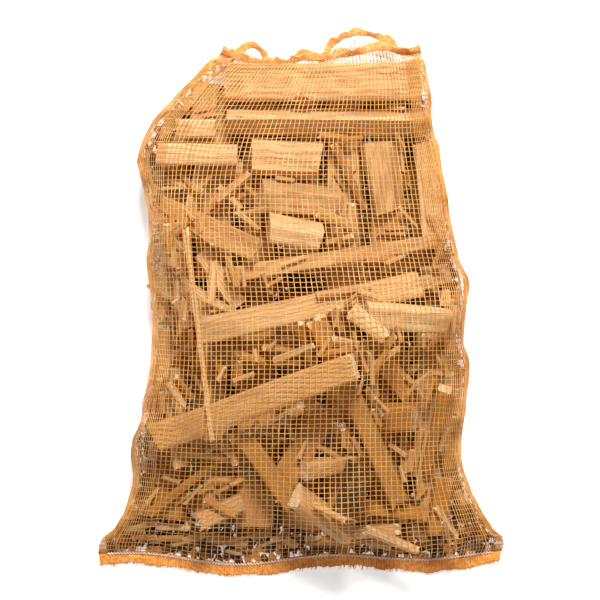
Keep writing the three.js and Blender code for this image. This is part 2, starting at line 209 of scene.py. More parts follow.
def year_rings(
    tree: bpy.types.NodeTree, grain: bpy.types.NodeSocket, ring_mm: float, wander_mm: float = 0.0
) -> bpy.types.NodeSocket:
    """Adds growth rings: each is a cylinder round the pith, so a split face shows it as a line.

    Args:
        tree: The material's node tree.
        grain: The place in the wood, with X along the pith.
        ring_mm: The rings' spacing.
        wander_mm: How far the rings stray from a circle.

    Returns:
        A wave from -1 to 1, once for each ring.
    """
    parts = add_node(tree, "ShaderNodeSeparateXYZ", {0: grain}).outputs
    across = add_node(tree, "ShaderNodeCombineXYZ", {"Y": parts["Y"], "Z": parts["Z"]}).outputs[0]
    radius = add_node(tree, "ShaderNodeVectorMath", {0: across}, operation="LENGTH").outputs["Value"]
    if wander_mm:
        inputs = {"Vector": grain, "Scale": 28.0, "Detail": 2.0}
        wander = add_node(tree, "ShaderNodeTexNoise", inputs).outputs["Fac"]
        inputs = {0: wander, 1: wander_mm * MM, 2: radius}
        radius = add_node(tree, "ShaderNodeMath", inputs, operation="MULTIPLY_ADD").outputs[0]
    inputs = {0: radius, 1: 2.0 * math.pi / (ring_mm * MM)}
    turns = add_node(tree, "ShaderNodeMath", inputs, operation="MULTIPLY").outputs[0]
    return add_node(tree, "ShaderNodeMath", {0: turns}, operation="SINE").outputs[0]


def value_noise(points: np.ndarray, seed: int) -> np.ndarray:
    """Smooth noise whose cells are one unit wide.

    Args:
        points: Places, as an (n, 3) array.
        seed: Picks one noise among many.

    Returns:
        A value from -1 to 1 for each place.
    """
    cell = np.floor(points).astype(np.int64)
    share = points - cell
    share = share * share * (3.0 - 2.0 * share)
    total = np.zeros(len(points))
    for corner in itertools.product((0, 1), repeat=3):
        at = cell + np.array(corner)
        mixed = at[:, 0] * 73856093 ^ at[:, 1] * 19349663 ^ at[:, 2] * 83492791 ^ seed * 2654435761
        mixed = (mixed ^ (mixed >> 13)) * 1274126177 & 0x7FFFFFFF
        mixed = (mixed ^ (mixed >> 16)) * 668265263 & 0x7FFFFFFF
        value = ((mixed >> 7) & 0xFFFF) / 32767.5 - 1.0
        total += value * np.prod(np.where(corner, share, 1.0 - share), axis=1)
    return total


def deselect_all() -> None:
    """Leaves object mode with nothing selected."""
    if bpy.context.object and bpy.context.object.mode != "OBJECT":
        bpy.ops.object.mode_set(mode="OBJECT")
    bpy.ops.object.select_all(action="DESELECT")


def mesh_from_arrays(name: str, points: np.ndarray, faces: list | np.ndarray) -> bpy.types.Mesh:
    """Makes a mesh of its own.

    Args:
        name: The mesh's name.
        points: Its vertices, as an (n, 3) array.
        faces: Its faces, as rows of vertex numbers.

    Returns:
        The mesh.
    """
    mesh = bpy.data.meshes.new(name)
    mesh.from_pydata(np.asarray(points).tolist(), [], np.asarray(faces).tolist())
    mesh.update()
    return mesh


def add_object(mesh: bpy.types.Mesh, slot: Slot, *materials: bpy.types.Material) -> bpy.types.Object:
    """Puts a finished mesh in the scene and lets it ride on the sack.

    Args:
        mesh: The mesh, already in place.
        slot: Not used.
        *materials: Its materials, in slot order.

    Returns:
        The new object.
    """
    piece = bpy.data.objects.new(mesh.name, mesh)
    bpy.context.scene.collection.objects.link(piece)
    for material in materials:
        mesh.materials.append(material)
    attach(piece, BODY)
    return piece


# ---------------------------------------------------------------------------
# Finishes
# ---------------------------------------------------------------------------


@dataclass(frozen=True)
class SplitSpruce:
    """Spruce split along the grain: pale, dry, with rings that show as long lines."""

    pale: str = "F2CD96"
    tan: str = "B57A38"
    streak: str = "9A6029"
    weathered: str = "8F6A42"
    ring_mm: float = 2.6
    wander_mm: float = 6.0
    fibre_mm: float = 0.9
    bump_mm: float = 0.35

    def build(self) -> bpy.types.Material:
        """Makes the material of the split faces."""
        material, tree = new_material("spruce_split")
        grain = add_node(tree, "ShaderNodeAttribute", attribute_name="grain").outputs["Vector"]
        tone = add_node(tree, "ShaderNodeAttribute", attribute_name="tone").outputs["Fac"]
        # Fibres are about a millimetre wide and sixty times as long
        fine = 1.0 / (self.fibre_mm * MM)
        inputs = {"Vector": grain, "Scale": (fine / 60.0, fine, fine)}
        along = add_node(tree, "ShaderNodeMapping", inputs).outputs[0]
        inputs = {"Vector": along, "Scale": 1.0, "Detail": 3.0, "Roughness": 0.6}
        fibres = add_node(tree, "ShaderNodeTexNoise", inputs).outputs["Fac"]
        # Handling and damp leave greyer patches, longer along the grain than across it
        inputs = {"Vector": grain, "Scale": (14.0, 60.0, 60.0)}
        broad = add_node(tree, "ShaderNodeMapping", inputs).outputs[0]
        inputs = {"Vector": broad, "Scale": 1.0, "Detail": 3.0}
        blotch = add_node(tree, "ShaderNodeTexNoise", inputs).outputs["Fac"]
        # The stored tone mixes pale and tan wood; its darker values towards the foot and in the gaps are
        # partly painted shade.
        inputs = {0: tone, 6: linear(self.pale), 7: linear(self.tan)}
        colour = add_node(tree, "ShaderNodeMix", inputs, data_type="RGBA").outputs[2]
        rings = year_rings(tree, grain, self.ring_mm, self.wander_mm)
        # What darkens the wood, between which values, how far, and to which colour
        layers = [
            (rings, (-0.2, 1.0), 0.42, self.streak),
            (fibres, (0.5, 0.74), 0.9, self.streak),
            (blotch, (0.54, 0.74), 0.55, self.weathered),
        ]
        for pattern, (low, high), most, darker in layers:
            inputs = {0: pattern, 1: low, 2: high, 3: 0.0, 4: most}
            share = add_node(tree, "ShaderNodeMapRange", inputs).outputs[0]
            inputs = {0: share, 6: colour, 7: linear(darker)}
            colour = add_node(tree, "ShaderNodeMix", inputs, data_type="RGBA").outputs[2]
        dress(tree, colour, (0.72, 0.3), fibres, (0.6, self.bump_mm))
        return material


@dataclass(frozen=True)
class EndGrain:
    """Spruce cut across the grain: paler, with curved rings and rough pores."""

    pale: str = "F6DDB4"
    ring: str = "CF9656"
    ring_mm: float = 2.6

    def build(self) -> bpy.types.Material:
        """Makes the material of the cut ends."""
        material, tree = new_material("spruce_end_grain")
        grain = add_node(tree, "ShaderNodeAttribute", attribute_name="grain").outputs["Vector"]
        rings = year_rings(tree, grain, self.ring_mm)
        inputs = {"Vector": grain, "Scale": 700.0, "Detail": 3.0}
        pores = add_node(tree, "ShaderNodeTexNoise", inputs).outputs["Fac"]
        inputs = {0: rings, 1: 0.22, 2: pores}
        dark = add_node(tree, "ShaderNodeMath", inputs, operation="MULTIPLY_ADD").outputs[0]
        stops = [(0.35, self.pale), (0.85, self.ring)]
        colour = add_node(tree, "ShaderNodeValToRGB", {0: dark}, stops).outputs[0]
        dress(tree, colour, (0.85, 0.2), pores, (0.7, 0.4))
        return material


@dataclass(frozen=True)
class Bark:
    """Dry bark: grey-brown scales with dark furrows."""

    light: str = "765738"
    dark: str = "442D18"
    scale_mm: float = 7.0

    def build(self) -> bpy.types.Material:
        """Makes the material of the bark."""
        material, tree = new_material("spruce_bark")
        grain = add_node(tree, "ShaderNodeAttribute", attribute_name="grain").outputs["Vector"]
        size = 1.0 / (self.scale_mm * MM)
        inputs = {"Vector": grain, "Scale": (size * 0.5, size, size)}
        placed = add_node(tree, "ShaderNodeMapping", inputs).outputs[0]
        inputs = {"Vector": placed, "Scale": 1.0, "Randomness": 1.0}
        scales = add_node(tree, "ShaderNodeTexVoronoi", inputs).outputs["Distance"]
        inputs = {"Vector": grain, "Scale": 420.0, "Detail": 4.0}
        grit = add_node(tree, "ShaderNodeTexNoise", inputs).outputs["Fac"]
        inputs = {0: scales, 1: 0.8, 2: grit}
        mixed = add_node(tree, "ShaderNodeMath", inputs, operation="MULTIPLY_ADD").outputs[0]
        stops = [(0.45, self.light), (1.1, self.dark)]
        colour = add_node(tree, "ShaderNodeValToRGB", {0: mixed}, stops).outputs[0]
        dress(tree, colour, (0.9, 0.15), mixed, (0.8, 1.2))
        return material


@dataclass(frozen=True)
class PolyTape:
    """Polypropylene tape: flat, orange, slightly see-through, with a soft plastic shine."""

    name: str
    light: str = "EBAE5C"
    deep: str = "CA8131"
    patch_mm: float = 30.0
    roughness: float = 0.4

    def build(self) -> bpy.types.Material:
        """Makes the material of the net's tapes."""
        material, tree = new_material(self.name)
        place = add_node(tree, "ShaderNodeTexCoord").outputs["Object"]
        scale = 1.0 / (self.patch_mm * MM)
        inputs = {"Vector": place, "Scale": scale, "Detail": 5.0, "Roughness": 0.7}
        patches = add_node(tree, "ShaderNodeTexNoise", inputs).outputs["Fac"]
        stops = [(0.38, self.deep), (0.64, self.light)]
        colour = add_node(tree, "ShaderNodeValToRGB", {0: patches}, stops).outputs[0]
        dress(tree, colour, (self.roughness, 0.5))
        return material


@dataclass(frozen=True)
class DenseWeave:
    """The same tape woven close: ribs one thread wide, with painted shade darkening the grooves between
    them.
    """

    name: str
    light: str = "FFAC4E"
    deep: str = "C46E26"
    rib_mm: float = 1.7

    def build(self) -> bpy.types.Material:
        """Makes the material of a hem; its ribs follow the hem's own UV map."""
        material, tree = new_material(self.name)
        uv = add_node(tree, "ShaderNodeUVMap", uv_map="weave").outputs["UV"]
        parts = add_node(tree, "ShaderNodeSeparateXYZ", {0: uv}).outputs
        inputs = {0: parts["X"], 1: 2.0 * math.pi / (self.rib_mm * MM)}
        turns = add_node(tree, "ShaderNodeMath", inputs, operation="MULTIPLY").outputs[0]
        ribs = add_node(tree, "ShaderNodeMath", {0: turns}, operation="SINE").outputs[0]
        inputs = {"Vector": uv, "Scale": 260.0, "Detail": 4.0}
        grit = add_node(tree, "ShaderNodeTexNoise", inputs).outputs["Fac"]
        inputs = {0: ribs, 1: 0.13, 2: grit}
        weave = add_node(tree, "ShaderNodeMath", inputs, operation="MULTIPLY_ADD").outputs[0]
        # Handling leaves paler and darker stretches, each a few centimetres long
        inputs = {"Vector": uv, "Scale": 45.0, "Detail": 3.0}
        stretches = add_node(tree, "ShaderNodeTexNoise", inputs).outputs["Fac"]
        inputs = {0: stretches, 1: 0.5, 2: weave}
        height = add_node(tree, "ShaderNodeMath", inputs, operation="MULTIPLY_ADD").outputs[0]
        # The colour follows the weave's height, so the grooves between the ribs are darker: painted
        # shade.
        stops = [(0.55, self.deep), (0.96, self.light)]
        colour = add_node(tree, "ShaderNodeValToRGB", {0: height}, stops).outputs[0]
        dress(tree, colour, (0.55, 0.35), height, (0.7, 0.6))
        return material


@dataclass(frozen=True)
class StitchThread:
    """Off-white polyester overlock thread, with a fine twist."""

    light: str = "FFFDF6"
    shade: str = "E6D9C6"

    def build(self) -> bpy.types.Material:
        """Makes the material of the stitches."""
        material, tree = new_material("polyester_stitch_thread")
        place = add_node(tree, "ShaderNodeTexCoord").outputs["Object"]
        inputs = {"Vector": place, "Scale": 900.0, "Detail": 2.0}
        twist = add_node(tree, "ShaderNodeTexNoise", inputs).outputs["Fac"]
        stops = [(0.35, self.shade), (0.6, self.light)]
        colour = add_node(tree, "ShaderNodeValToRGB", {0: twist}, stops).outputs[0]
        dress(tree, colour, (0.65, 0.5))
        return material


# ---------------------------------------------------------------------------
# Sticks
# ---------------------------------------------------------------------------


@dataclass
class BilletForm:
    """A blank stick: a cylinder with rings along it and round its ends, ready to be shaped.

    Attributes:
        around: Vertices round the stick.
        rings: Rows of faces along it.
        end_rings: Rows of faces from each end's rim to its middle.
    """

    around: int
    rings: int
    end_rings: int = 4
    mesh: bpy.types.Mesh = field(init=False)

    def __post_init__(self) -> None:
        """Models the blank with the mesh tools, once."""
        deselect_all()
        bpy.ops.mesh.primitive_cylinder_add(
            vertices=self.around, radius=1.0, depth=1.0, end_fill_type="TRIFAN", location=(0, 0, 0)
        )
        blank = bpy.context.object
        bpy.ops.object.mode_set(mode="EDIT")
        self._cut_edges(blank, lambda a, b: abs(a.z - b.z) > 0.5, self.rings - 1)
        self._cut_edges(
            blank, lambda a, b: min(a.xy.length, b.xy.length) < 1e-4, self.end_rings - 1
        )
        bpy.ops.object.mode_set(mode="OBJECT")
        self.mesh = blank.data
        self.mesh.use_fake_user = True
        bpy.data.objects.remove(blank)
        places = np.empty(len(self.mesh.vertices) * 3)
        self.mesh.vertices.foreach_get("co", places)
        places = places.reshape(-1, 3)
        self.share = np.clip(places[:, 2] + 0.5, 0.0, 1.0)
        self.out = np.hypot(places[:, 0], places[:, 1]).clip(0.0, 1.0)
        turn = np.arctan2(places[:, 1], places[:, 0]) / (2.0 * math.pi)
        self.index = np.round(turn * self.around).astype(int) % self.around

    @staticmethod
    def _cut_edges(blank: bpy.types.Object, wanted: object, cuts: int) -> None:
        """Subdivides the edges that a test picks by their two ends."""
        bpy.ops.mesh.select_all(action="DESELECT")
        bpy.ops.mesh.select_mode(type="EDGE")
        shape = bmesh.from_edit_mesh(blank.data)
        for edge in shape.edges:
            edge.select = bool(wanted(edge.verts[0].co, edge.verts[1].co))
        bmesh.update_edit_mesh(blank.data)
        bpy.ops.mesh.subdivide(number_cuts=cuts)


@dataclass
class Bar:
    """The plain prism that a stick is drawn round: its two end outlines, matched corner to corner."""

    near: np.ndarray
    far: np.ndarray

    @classmethod
    def from_solid(cls, solid: bpy.types.Object) -> "Bar":
        """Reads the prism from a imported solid.

        Args:
            solid: The stick's CAD object.

        Returns:
            The prism, its corners counter-clockwise about the line from near to far.
        """
        shape = bmesh.new()
        shape.from_mesh(solid.data)
        bmesh.ops.remove_doubles(shape, verts=shape.verts, dist=2e-5)
        bmesh.ops.dissolve_limit(
            shape, angle_limit=math.radians(0.4), verts=shape.verts, edges=shape.edges
        )
        ends = sorted(shape.faces, key=lambda face: len(face.verts))[-2:]
        middle = [sum((v.co for v in face.verts), Vector()) / len(face.verts) for face in ends]
        axis = (middle[1] - middle[0]).normalized()
        far_corners = set(ends[1].verts)
        near, far = [], []
        for corner in ends[0].verts:
            partners = [e.other_vert(corner) for e in corner.link_edges]
            partners = [v for v in partners if v in far_corners]
            best = max(partners, key=lambda v: (v.co - corner.co).normalized().dot(axis))
            near.append(corner.co[:])
            far.append(best.co[:])
        shape.free()
        return cls.ordered(np.array(near), np.array(far))

    @classmethod
    def ordered(cls, near: np.ndarray, far: np.ndarray) -> "Bar":
        """Makes a prism whose corners run counter-clockwise about its own axis."""
        centre = near.mean(0)
        axis = far.mean(0) - centre
        turn = sum(np.cross(near[i - 1] - centre, near[i] - centre) for i in range(len(near)))
        if float(np.dot(turn, axis)) < 0.0:
            near, far = near[::-1], far[::-1]
        return cls(near=near, far=far)

    @property
    def length(self) -> float:
        """The distance between the two ends' middles."""
        return float(np.linalg.norm(self.far.mean(0) - self.near.mean(0)))

    def planes(self) -> tuple[np.ndarray, np.ndarray]:
        """The outward normals of the prism's faces, and how far along its normal each face lies."""
        count = len(self.near)
        centre = (self.near.mean(0) + self.far.mean(0)) / 2.0
        corners = [
            (self.near[i], self.near[(i + 1) % count], self.far[i]) for i in range(count)
        ]
        corners += [(self.near[0], self.near[1], self.near[2]), (self.far[0], self.far[1], self.far[2])]
        normals, offsets = [], []
        for a, b, c in corners:
            normal = np.cross(b - a, c - a)
            normal /= np.linalg.norm(normal)
            offset = float(normal @ a)
            if normal @ centre > offset:
                normal, offset = -normal, -offset
            normals.append(normal)
            offsets.append(offset)
        return np.array(normals), np.array(offsets)


@dataclass
class Billet:
    """One stick of split wood, shaped from a blank round its prism.

    Attributes:
        name: The piece's name.
        bar: The prism.
        form: The blank.
        seed: Picks this stick's own grain and tears.
        tone: From 0, pale sapwood, to 1, tan heartwood; the tan given towards the foot and to the fill in
            the gaps is partly painted shade.
        ends: How the near and the far end were made.
        barked: Whether its upper face still has bark.
    """

    name: str
    bar: Bar
    form: BilletForm
    seed: int
    tone: float
    ends: tuple[EndCut, EndCut] = (EndCut.SAWN, EndCut.SAWN)
    barked: bool = False
    relief: float = 1.0
    tear_mm: float = 7.0

    def _outline(self, corners: np.ndarray, counts: np.ndarray) -> np.ndarray:
        """Spreads the blank's vertices along an end outline, with its corners eased."""
        count = len(corners)
        points = []
        for i in range(count):
            shares = np.arange(counts[i]) / counts[i]
            points.append(corners[i] + shares[:, None] * (corners[(i + 1) % count] - corners[i]))
        ring = np.concatenate(points)
        return 0.62 * ring + 0.19 * (np.roll(ring, 1, 0) + np.roll(ring, -1, 0))

    def _counts(self) -> np.ndarray:
        """How many of the blank's vertices go on each side of the outline."""
        near = self.bar.near
        lengths = np.linalg.norm(np.roll(near, -1, 0) - near, axis=1)
        counts = np.maximum(1, np.floor(lengths / lengths.sum() * self.form.around).astype(int))
        while counts.sum() < self.form.around:
            counts[np.argmax(lengths / counts)] += 1
        while counts.sum() > self.form.around:
            counts[np.argmax(counts)] -= 1
        return counts

    def build(self) -> bpy.types.Mesh:
        """Shapes the stick.

        Returns:
            A mesh in place, with its grain and tone stored on its vertices.
        """
        form, bar = self.form, self.bar
        counts = self._counts()
        near, far = self._outline(bar.near, counts), self._outline(bar.far, counts)
        share, out, index = form.share, form.out, form.index
        start, end = near.mean(0), far.mean(0)
        axis = (end - start) / bar.length
        ring = near[index] * (1.0 - share[:, None]) + far[index] * share[:, None]
        middle = start + share[:, None] * (end - start)
        points = middle + out[:, None] * (ring - middle)
        outward = ring - middle
        outward /= np.linalg.norm(outward, axis=1)[:, None]
        # The stick's own axes: along the grain, across and up
        longest = np.argmax(np.linalg.norm(np.roll(bar.near, -1, 0) - bar.near, axis=1))
        across = bar.near[(longest + 1) % len(bar.near)] - bar.near[longest]
        across -= axis * (across @ axis)
        across /= np.linalg.norm(across)
        up = np.cross(axis, across)
        local = np.stack([(points - start) @ axis, (points - start) @ across, (points - start) @ up], 1)
        points = points + self._wander(local, across, up)
        points += outward * (self._relief(local) * (out > 0.99))[:, None]
        points += axis * self._tears(local)[:, None]
        mesh = form.mesh.copy()
        mesh.name = self.name
        mesh.vertices.foreach_set("co", points.ravel())
        random = np.random.RandomState(self.seed)
        pith = np.array([0.0, *(random.uniform(-0.05, 0.05, 2) + np.array([0.0, -0.03]))])
        grain = local - pith + np.array([random.uniform(0, 3.0), 0.0, 0.0])
        store(mesh, "grain", "FLOAT_VECTOR", grain)
        store(mesh, "tone", "FLOAT", np.full(len(points), self.tone))
        self._mark_faces(mesh, up)
        mesh.set_sharp_from_angle(angle=math.radians(34.0))
        mesh.update()
        return mesh

    def _wander(self, local: np.ndarray, across: np.ndarray, up: np.ndarray) -> np.ndarray:
        """A slight bow, so that no stick is a straight prism."""
        size = min(0.0016, 0.008 * self.bar.length) * self.relief
        length = self.bar.length
        share = np.clip(local[:, 0] / length, 0.0, 1.0)
        random = np.random.RandomState(self.seed + 11)
        bow = np.sin(share * math.pi * random.uniform(0.8, 1.7) + random.uniform(0.0, 3.0))
        sideways, downwards = random.uniform(-1.0, 1.0), 0.5 * random.uniform(0.2, 1.0)
        return (bow * size)[:, None] * (sideways * across - downwards * up)

    def _relief(self, local: np.ndarray) -> np.ndarray:
        """Fibres and steps that the split left, long along the grain and mostly inwards."""
        fine = value_noise(local / np.array([0.05, 0.0030, 0.0030]), self.seed)
        steps = value_noise(local / np.array([0.11, 0.0080, 0.0080]), self.seed + 1)
        broad = value_noise(local / np.array([0.07, 0.0220, 0.0220]), self.seed + 2)
        ledges = np.clip(steps * 3.0, -1.0, 1.0)
        total = 0.38 * fine + 0.55 * ledges + 0.95 * broad - 0.75
        return total * MM * self.relief

    def _tears(self, local: np.ndarray) -> np.ndarray:
        """How far each vertex moves along the grain: saw marks, or long torn fibres."""
        moved = np.zeros(len(local))
        length = self.bar.length
        reach = min(0.024, 0.4 * length)
        for number, cut in enumerate(self.ends):
            depth = local[:, 0] if number == 0 else length - local[:, 0]
            near_end = np.clip(1.0 - depth / reach, 0.0, 1.0)
            inward = 1.0 if number == 0 else -1.0
            fibres = value_noise(local / np.array([1.0, 0.0028, 0.0028]), self.seed + 5 + number)
            broad = value_noise(local / np.array([1.0, 0.0120, 0.0120]), self.seed + 7 + number)
            if cut is EndCut.TORN:
                size = self.tear_mm * MM * np.clip(0.45 + 0.6 * fibres + 0.5 * broad, 0.0, 1.3)
            else:
                size = 0.5 * MM * (1.0 + fibres)
            moved += inward * size * near_end * near_end
        return moved

    def _mark_faces(self, mesh: bpy.types.Mesh, up: np.ndarray) -> None:
        """Gives the ends the second material, and the bark side the third."""
        form = self.form
        at_end = (form.share < 1e-4) | (form.share > 1.0 - 1e-4)
        for polygon in mesh.polygons:
            polygon.use_smooth = True
            if all(at_end[v] for v in polygon.vertices):
                polygon.material_index = 1
                polygon.use_smooth = False
            elif self.barked and Vector(up).dot(polygon.normal) > 0.35:
                polygon.material_index = 2


def store(mesh: bpy.types.Mesh, name: str, kind: str, values: np.ndarray) -> None:
    """Stores one value per vertex as a named attribute."""
    attribute = mesh.attributes.new(name, kind, "POINT")
    attribute.data.foreach_set("vector" if kind == "FLOAT_VECTOR" else "value", np.ravel(values))


# ---------------------------------------------------------------------------
# The heap as a whole
# ---------------------------------------------------------------------------


@dataclass
class Heap:
    """All the sticks: what is solid in the sack, as distances on a grid, and as heights from above."""

    low: np.ndarray
    high: np.ndarray
    cell: float = 2.0 * MM
    margin: float = 12.0 * MM
    bars: list[Bar] = field(default_factory=list)

    def __post_init__(self) -> None:
        """Makes the empty grid."""
        self.origin = self.low - self.margin
        self.shape = np.ceil((self.high + self.margin - self.origin) / self.cell).astype(int) + 1
        self.distance = np.full(self.shape, self.margin, dtype=np.float32)

    def add(self, bar: Bar) -> None:
        """Adds one stick to the grid.

        Args:
            bar: The stick's prism.
        """
        self.bars.append(bar)
        corners = np.concatenate([bar.near, bar.far])
        low = np.floor((corners.min(0) - self.margin - self.origin) / self.cell).astype(int).clip(0)
        high = np.ceil((corners.max(0) + self.margin - self.origin) / self.cell).astype(int) + 1
        high = np.minimum(high, self.shape)
        axes = [self.origin[k] + self.cell * np.arange(low[k], high[k]) for k in range(3)]
        grid = np.stack(np.meshgrid(*axes, indexing="ij"), -1).reshape(-1, 3)
        normals, offsets = bar.planes()
        values = (grid @ normals.T - offsets).max(1).reshape(high - low)
        part = self.distance[low[0] : high[0], low[1] : high[1], low[2] : high[2]]
        np.minimum(part, values, out=part)

    def surface(self) -> BVHTree:
        """The sticks' faces, to be met from above."""
        points, faces = [], []
        for bar in self.bars:
            first, count = len(points), len(bar.near)
            points += [tuple(v) for v in bar.near] + [tuple(v) for v in bar.far]
            faces.append([first + i for i in range(count)])
            faces.append([first + count + i for i in range(count)])
            for i in range(count):
                j = (i + 1) % count
                faces.append([first + i, first + j, first + count + j, first + count + i])
        return BVHTree.FromPolygons(points, faces)

    def tops(self, spread: float) -> tuple[np.ndarray, np.ndarray, float]:
        """The heap's height from above on a grid, each cell the highest within a spread.

        Args:
            spread: How far a height reaches.

        Returns:
            The heights, the grid's corner and its step.
        """
        surface, step = self.surface(), 2.0 * MM
        down = Vector((0.0, 0.0, -1.0))
        xs = np.arange(self.low[0] - self.margin, self.high[0] + self.margin, step)
        ys = np.arange(self.low[1] - self.margin, self.high[1] + self.margin, step)
        heights = np.zeros((len(xs), len(ys)))
        for i, x in enumerate(xs):
            for j, y in enumerate(ys):
                hit = surface.ray_cast(Vector((x, y, 1.0)), down)[0]
                if hit is not None:
                    heights[i, j] = hit.z
        reach = int(math.ceil(spread / step))
        widest = heights.copy()
        for di, dj in itertools.product(range(-reach, reach + 1), repeat=2):
            if di * di + dj * dj <= reach * reach:
                widest = np.maximum(widest, np.roll(heights, (di, dj), (0, 1)))
        return widest, np.array([xs[0], ys[0]]), step

    def sample(self, points: np.ndarray) -> tuple[np.ndarray, np.ndarray]:
        """Reads the distance to the nearest stick, and the way out of it.

        Args:
            points: Places, as an (n, 3) array.

        Returns:
            The distances, and the directions in which they grow.
        """
        at = (points - self.origin) / self.cell
        cell = np.clip(np.floor(at).astype(int), 0, self.shape - 2)
        f = np.clip(at - cell, 0.0, 1.0)
        i, j, k = cell.T
        grid = self.distance
        c = {
            (a, b, d): grid[i + a, j + b, k + d] for a, b, d in itertools.product((0, 1), repeat=3)
        }
        x, y, z = f.T
        low_y = [c[0, b, d] * (1 - x) + c[1, b, d] * x for b, d in ((0, 0), (1, 0), (0, 1), (1, 1))]
        low_z = [low_y[0] * (1 - y) + low_y[1] * y, low_y[2] * (1 - y) + low_y[3] * y]
        value = low_z[0] * (1 - z) + low_z[1] * z
        slope_x = sum(
            (c[1, b, d] - c[0, b, d]) * (y if b else 1 - y) * (z if d else 1 - z)
            for b, d in itertools.product((0, 1), repeat=2)
        )
        slope_y = (low_y[1] - low_y[0]) * (1 - z) + (low_y[3] - low_y[2]) * z
        slope_z = low_z[1] - low_z[0]
        slope = np.stack([slope_x, slope_y, slope_z], 1)
        slope /= np.maximum(np.linalg.norm(slope, axis=1), 1e-6)[:, None]
        return value, slope


def split_bar(
    centre: np.ndarray,
    direction: np.ndarray,
    length: float,
    width: float,
    height: float,
    random: np.random.RandomState,
) -> Bar:
    """Makes the prism of a small split, whose foot lies at its centre.

    Args:
        centre: The middle of its underside.
        direction: Along its grain.
        length: Its length.
        width: Its width.
        height: Its height.
        random: Where its irregularity comes from.

    Returns:
        The prism.
    """
    x_axis = direction / np.linalg.norm(direction)
    y_axis = np.cross([0.0, 0.0, 1.0], x_axis)
    y_axis /= np.linalg.norm(y_axis)
    z_axis = np.cross(x_axis, y_axis)
    outline = [(-0.46, 0.0), (0.48, 0.0), (0.5, 0.55), (0.2, 1.0), (-0.3, 0.92), (-0.5, 0.4)]
    jitter = random.uniform(-0.07, 0.07, (len(outline), 2))
    near, far = [], []
    for (a, b), (da, db) in zip(outline, jitter):
        side = y_axis * (a + da) * width + z_axis * (b + db * (b > 0.0)) * height
        near.append(centre - x_axis * length / 2.0 + side)
        far.append(centre + x_axis * length / 2.0 + side * random.uniform(0.7, 1.0))
    return Bar.ordered(np.array(near), np.array(far))


@dataclass
class FinesAndGapShade:
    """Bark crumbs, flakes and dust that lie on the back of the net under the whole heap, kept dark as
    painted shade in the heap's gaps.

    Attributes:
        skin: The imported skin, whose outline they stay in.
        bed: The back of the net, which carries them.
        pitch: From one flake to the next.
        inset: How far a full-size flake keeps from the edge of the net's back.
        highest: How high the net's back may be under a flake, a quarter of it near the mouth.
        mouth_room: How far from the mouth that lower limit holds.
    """

    skin: bpy.types.Object
    bed: BVHTree
    pitch: float = 6.0 * MM
    inset: float = 9.0 * MM
    highest: float = 34.0 * MM
    mouth_room: float = 45.0 * MM
    seed: int = 610
    name: str = "fines_and_gap_shade"

    def build(self, materials: list[bpy.types.Material]) -> bpy.types.Object:
        """Scatters the flakes in one thin uneven layer.

        Args:
            materials: The split face, the end grain and the bark.

        Returns:
            The layer as one piece.
        """
        random = np.random.RandomState(self.seed)
        lid = BVHTree.FromObject(self.skin, bpy.context.evaluated_depsgraph_get())
        low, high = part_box(self.skin.name)
        down, up = Vector((0.0, 0.0, -1.0)), Vector((0.0, 0.0, 1.0))
        points, faces, marks, grains = [], [], [], []
        for x0, y0 in itertools.product(
            np.arange(low[0], high[0], self.pitch), np.arange(low[1], high[1], self.pitch)
        ):
            x, y = np.array([x0, y0]) + random.uniform(-0.45, 0.45, 2) * self.pitch
            ways = ((-1, 0), (1, 0), (0, -0.1), (0, 0.7))
            for scale in (1.0, 0.55, 0.3):
                near = [(x + dx * self.inset * scale, y + dy * self.inset * scale) for dx, dy in ways]
                beds = [self.bed.ray_cast(Vector((a, b, -1.0)), up)[0] for a, b in [*near, (x, y)]]
                lids = [lid.ray_cast(Vector((a, b, 1.0)), down)[0] for a, b in near]
                if not any(hit is None for hit in beds + lids):
                    break
            if any(hit is None for hit in beds + lids):
                continue
            if beds[-1].z > (self.highest if y < high[1] - self.mouth_room else self.highest / 4.0):
                continue
            first, sides = len(points), int(random.randint(5, 8))
            turns = (np.arange(sides) + random.uniform(-0.32, 0.32, sides)) * 2.0 * math.pi / sides
            reach = random.uniform(0.7, 1.0) * self.pitch * scale
            long = random.uniform(0.8, 1.35)
            lean = random.normal(0.0, 0.05, 2)
            base = random.uniform(1.1, 1.7) * MM
            ring = np.stack([np.cos(turns) * reach * long, np.sin(turns) * reach / long], 1)
            spin = random.uniform(0.0, math.pi)
            ring = ring @ np.array([[math.cos(spin), math.sin(spin)], [-math.sin(spin), math.cos(spin)]])
            for rise in (0.0, random.uniform(0.4, 0.9) * MM):
                for a, b in ring:
                    z = float(np.clip(base + rise + a * lean[0] + b * lean[1], 0.9 * MM, 2.8 * MM))
                    hit = self.bed.ray_cast(Vector((x + a, y + b, -1.0)), up)[0]
                    under = hit.z if hit is not None else beds[-1].z
                    points.append((x + a, y + b, z + max(0.0, under - 0.5 * MM)))
            faces.append([first + k for k in range(sides)][::-1])
            faces.append([first + sides + k for k in range(sides)])
            for k in range(sides):
                j = (k + 1) % sides
                faces.append([first + k, first + j, first + sides + j, first + sides + k])
            # Most flakes take the dark bark finish and the rest the darkest tan: painted shade in the
            # gaps of the heap.
            marks += [2 if random.rand() < 0.62 else 0] * (sides + 2)
            grains += [tuple(random.uniform(0.0, 2.0, 3))] * (2 * sides)
        mesh = bpy.data.meshes.new(self.name)
        mesh.from_pydata(points, [], faces)
        mesh.polygons.foreach_set("material_index", marks)
        store(mesh, "grain", "FLOAT_VECTOR", np.array(points) + np.array(grains))
        store(mesh, "tone", "FLOAT", np.full(len(points), 1.0))
        LOG.info("%s: %d faces", self.name, len(faces))
        return add_object(mesh, Slot.BARK, *materials)


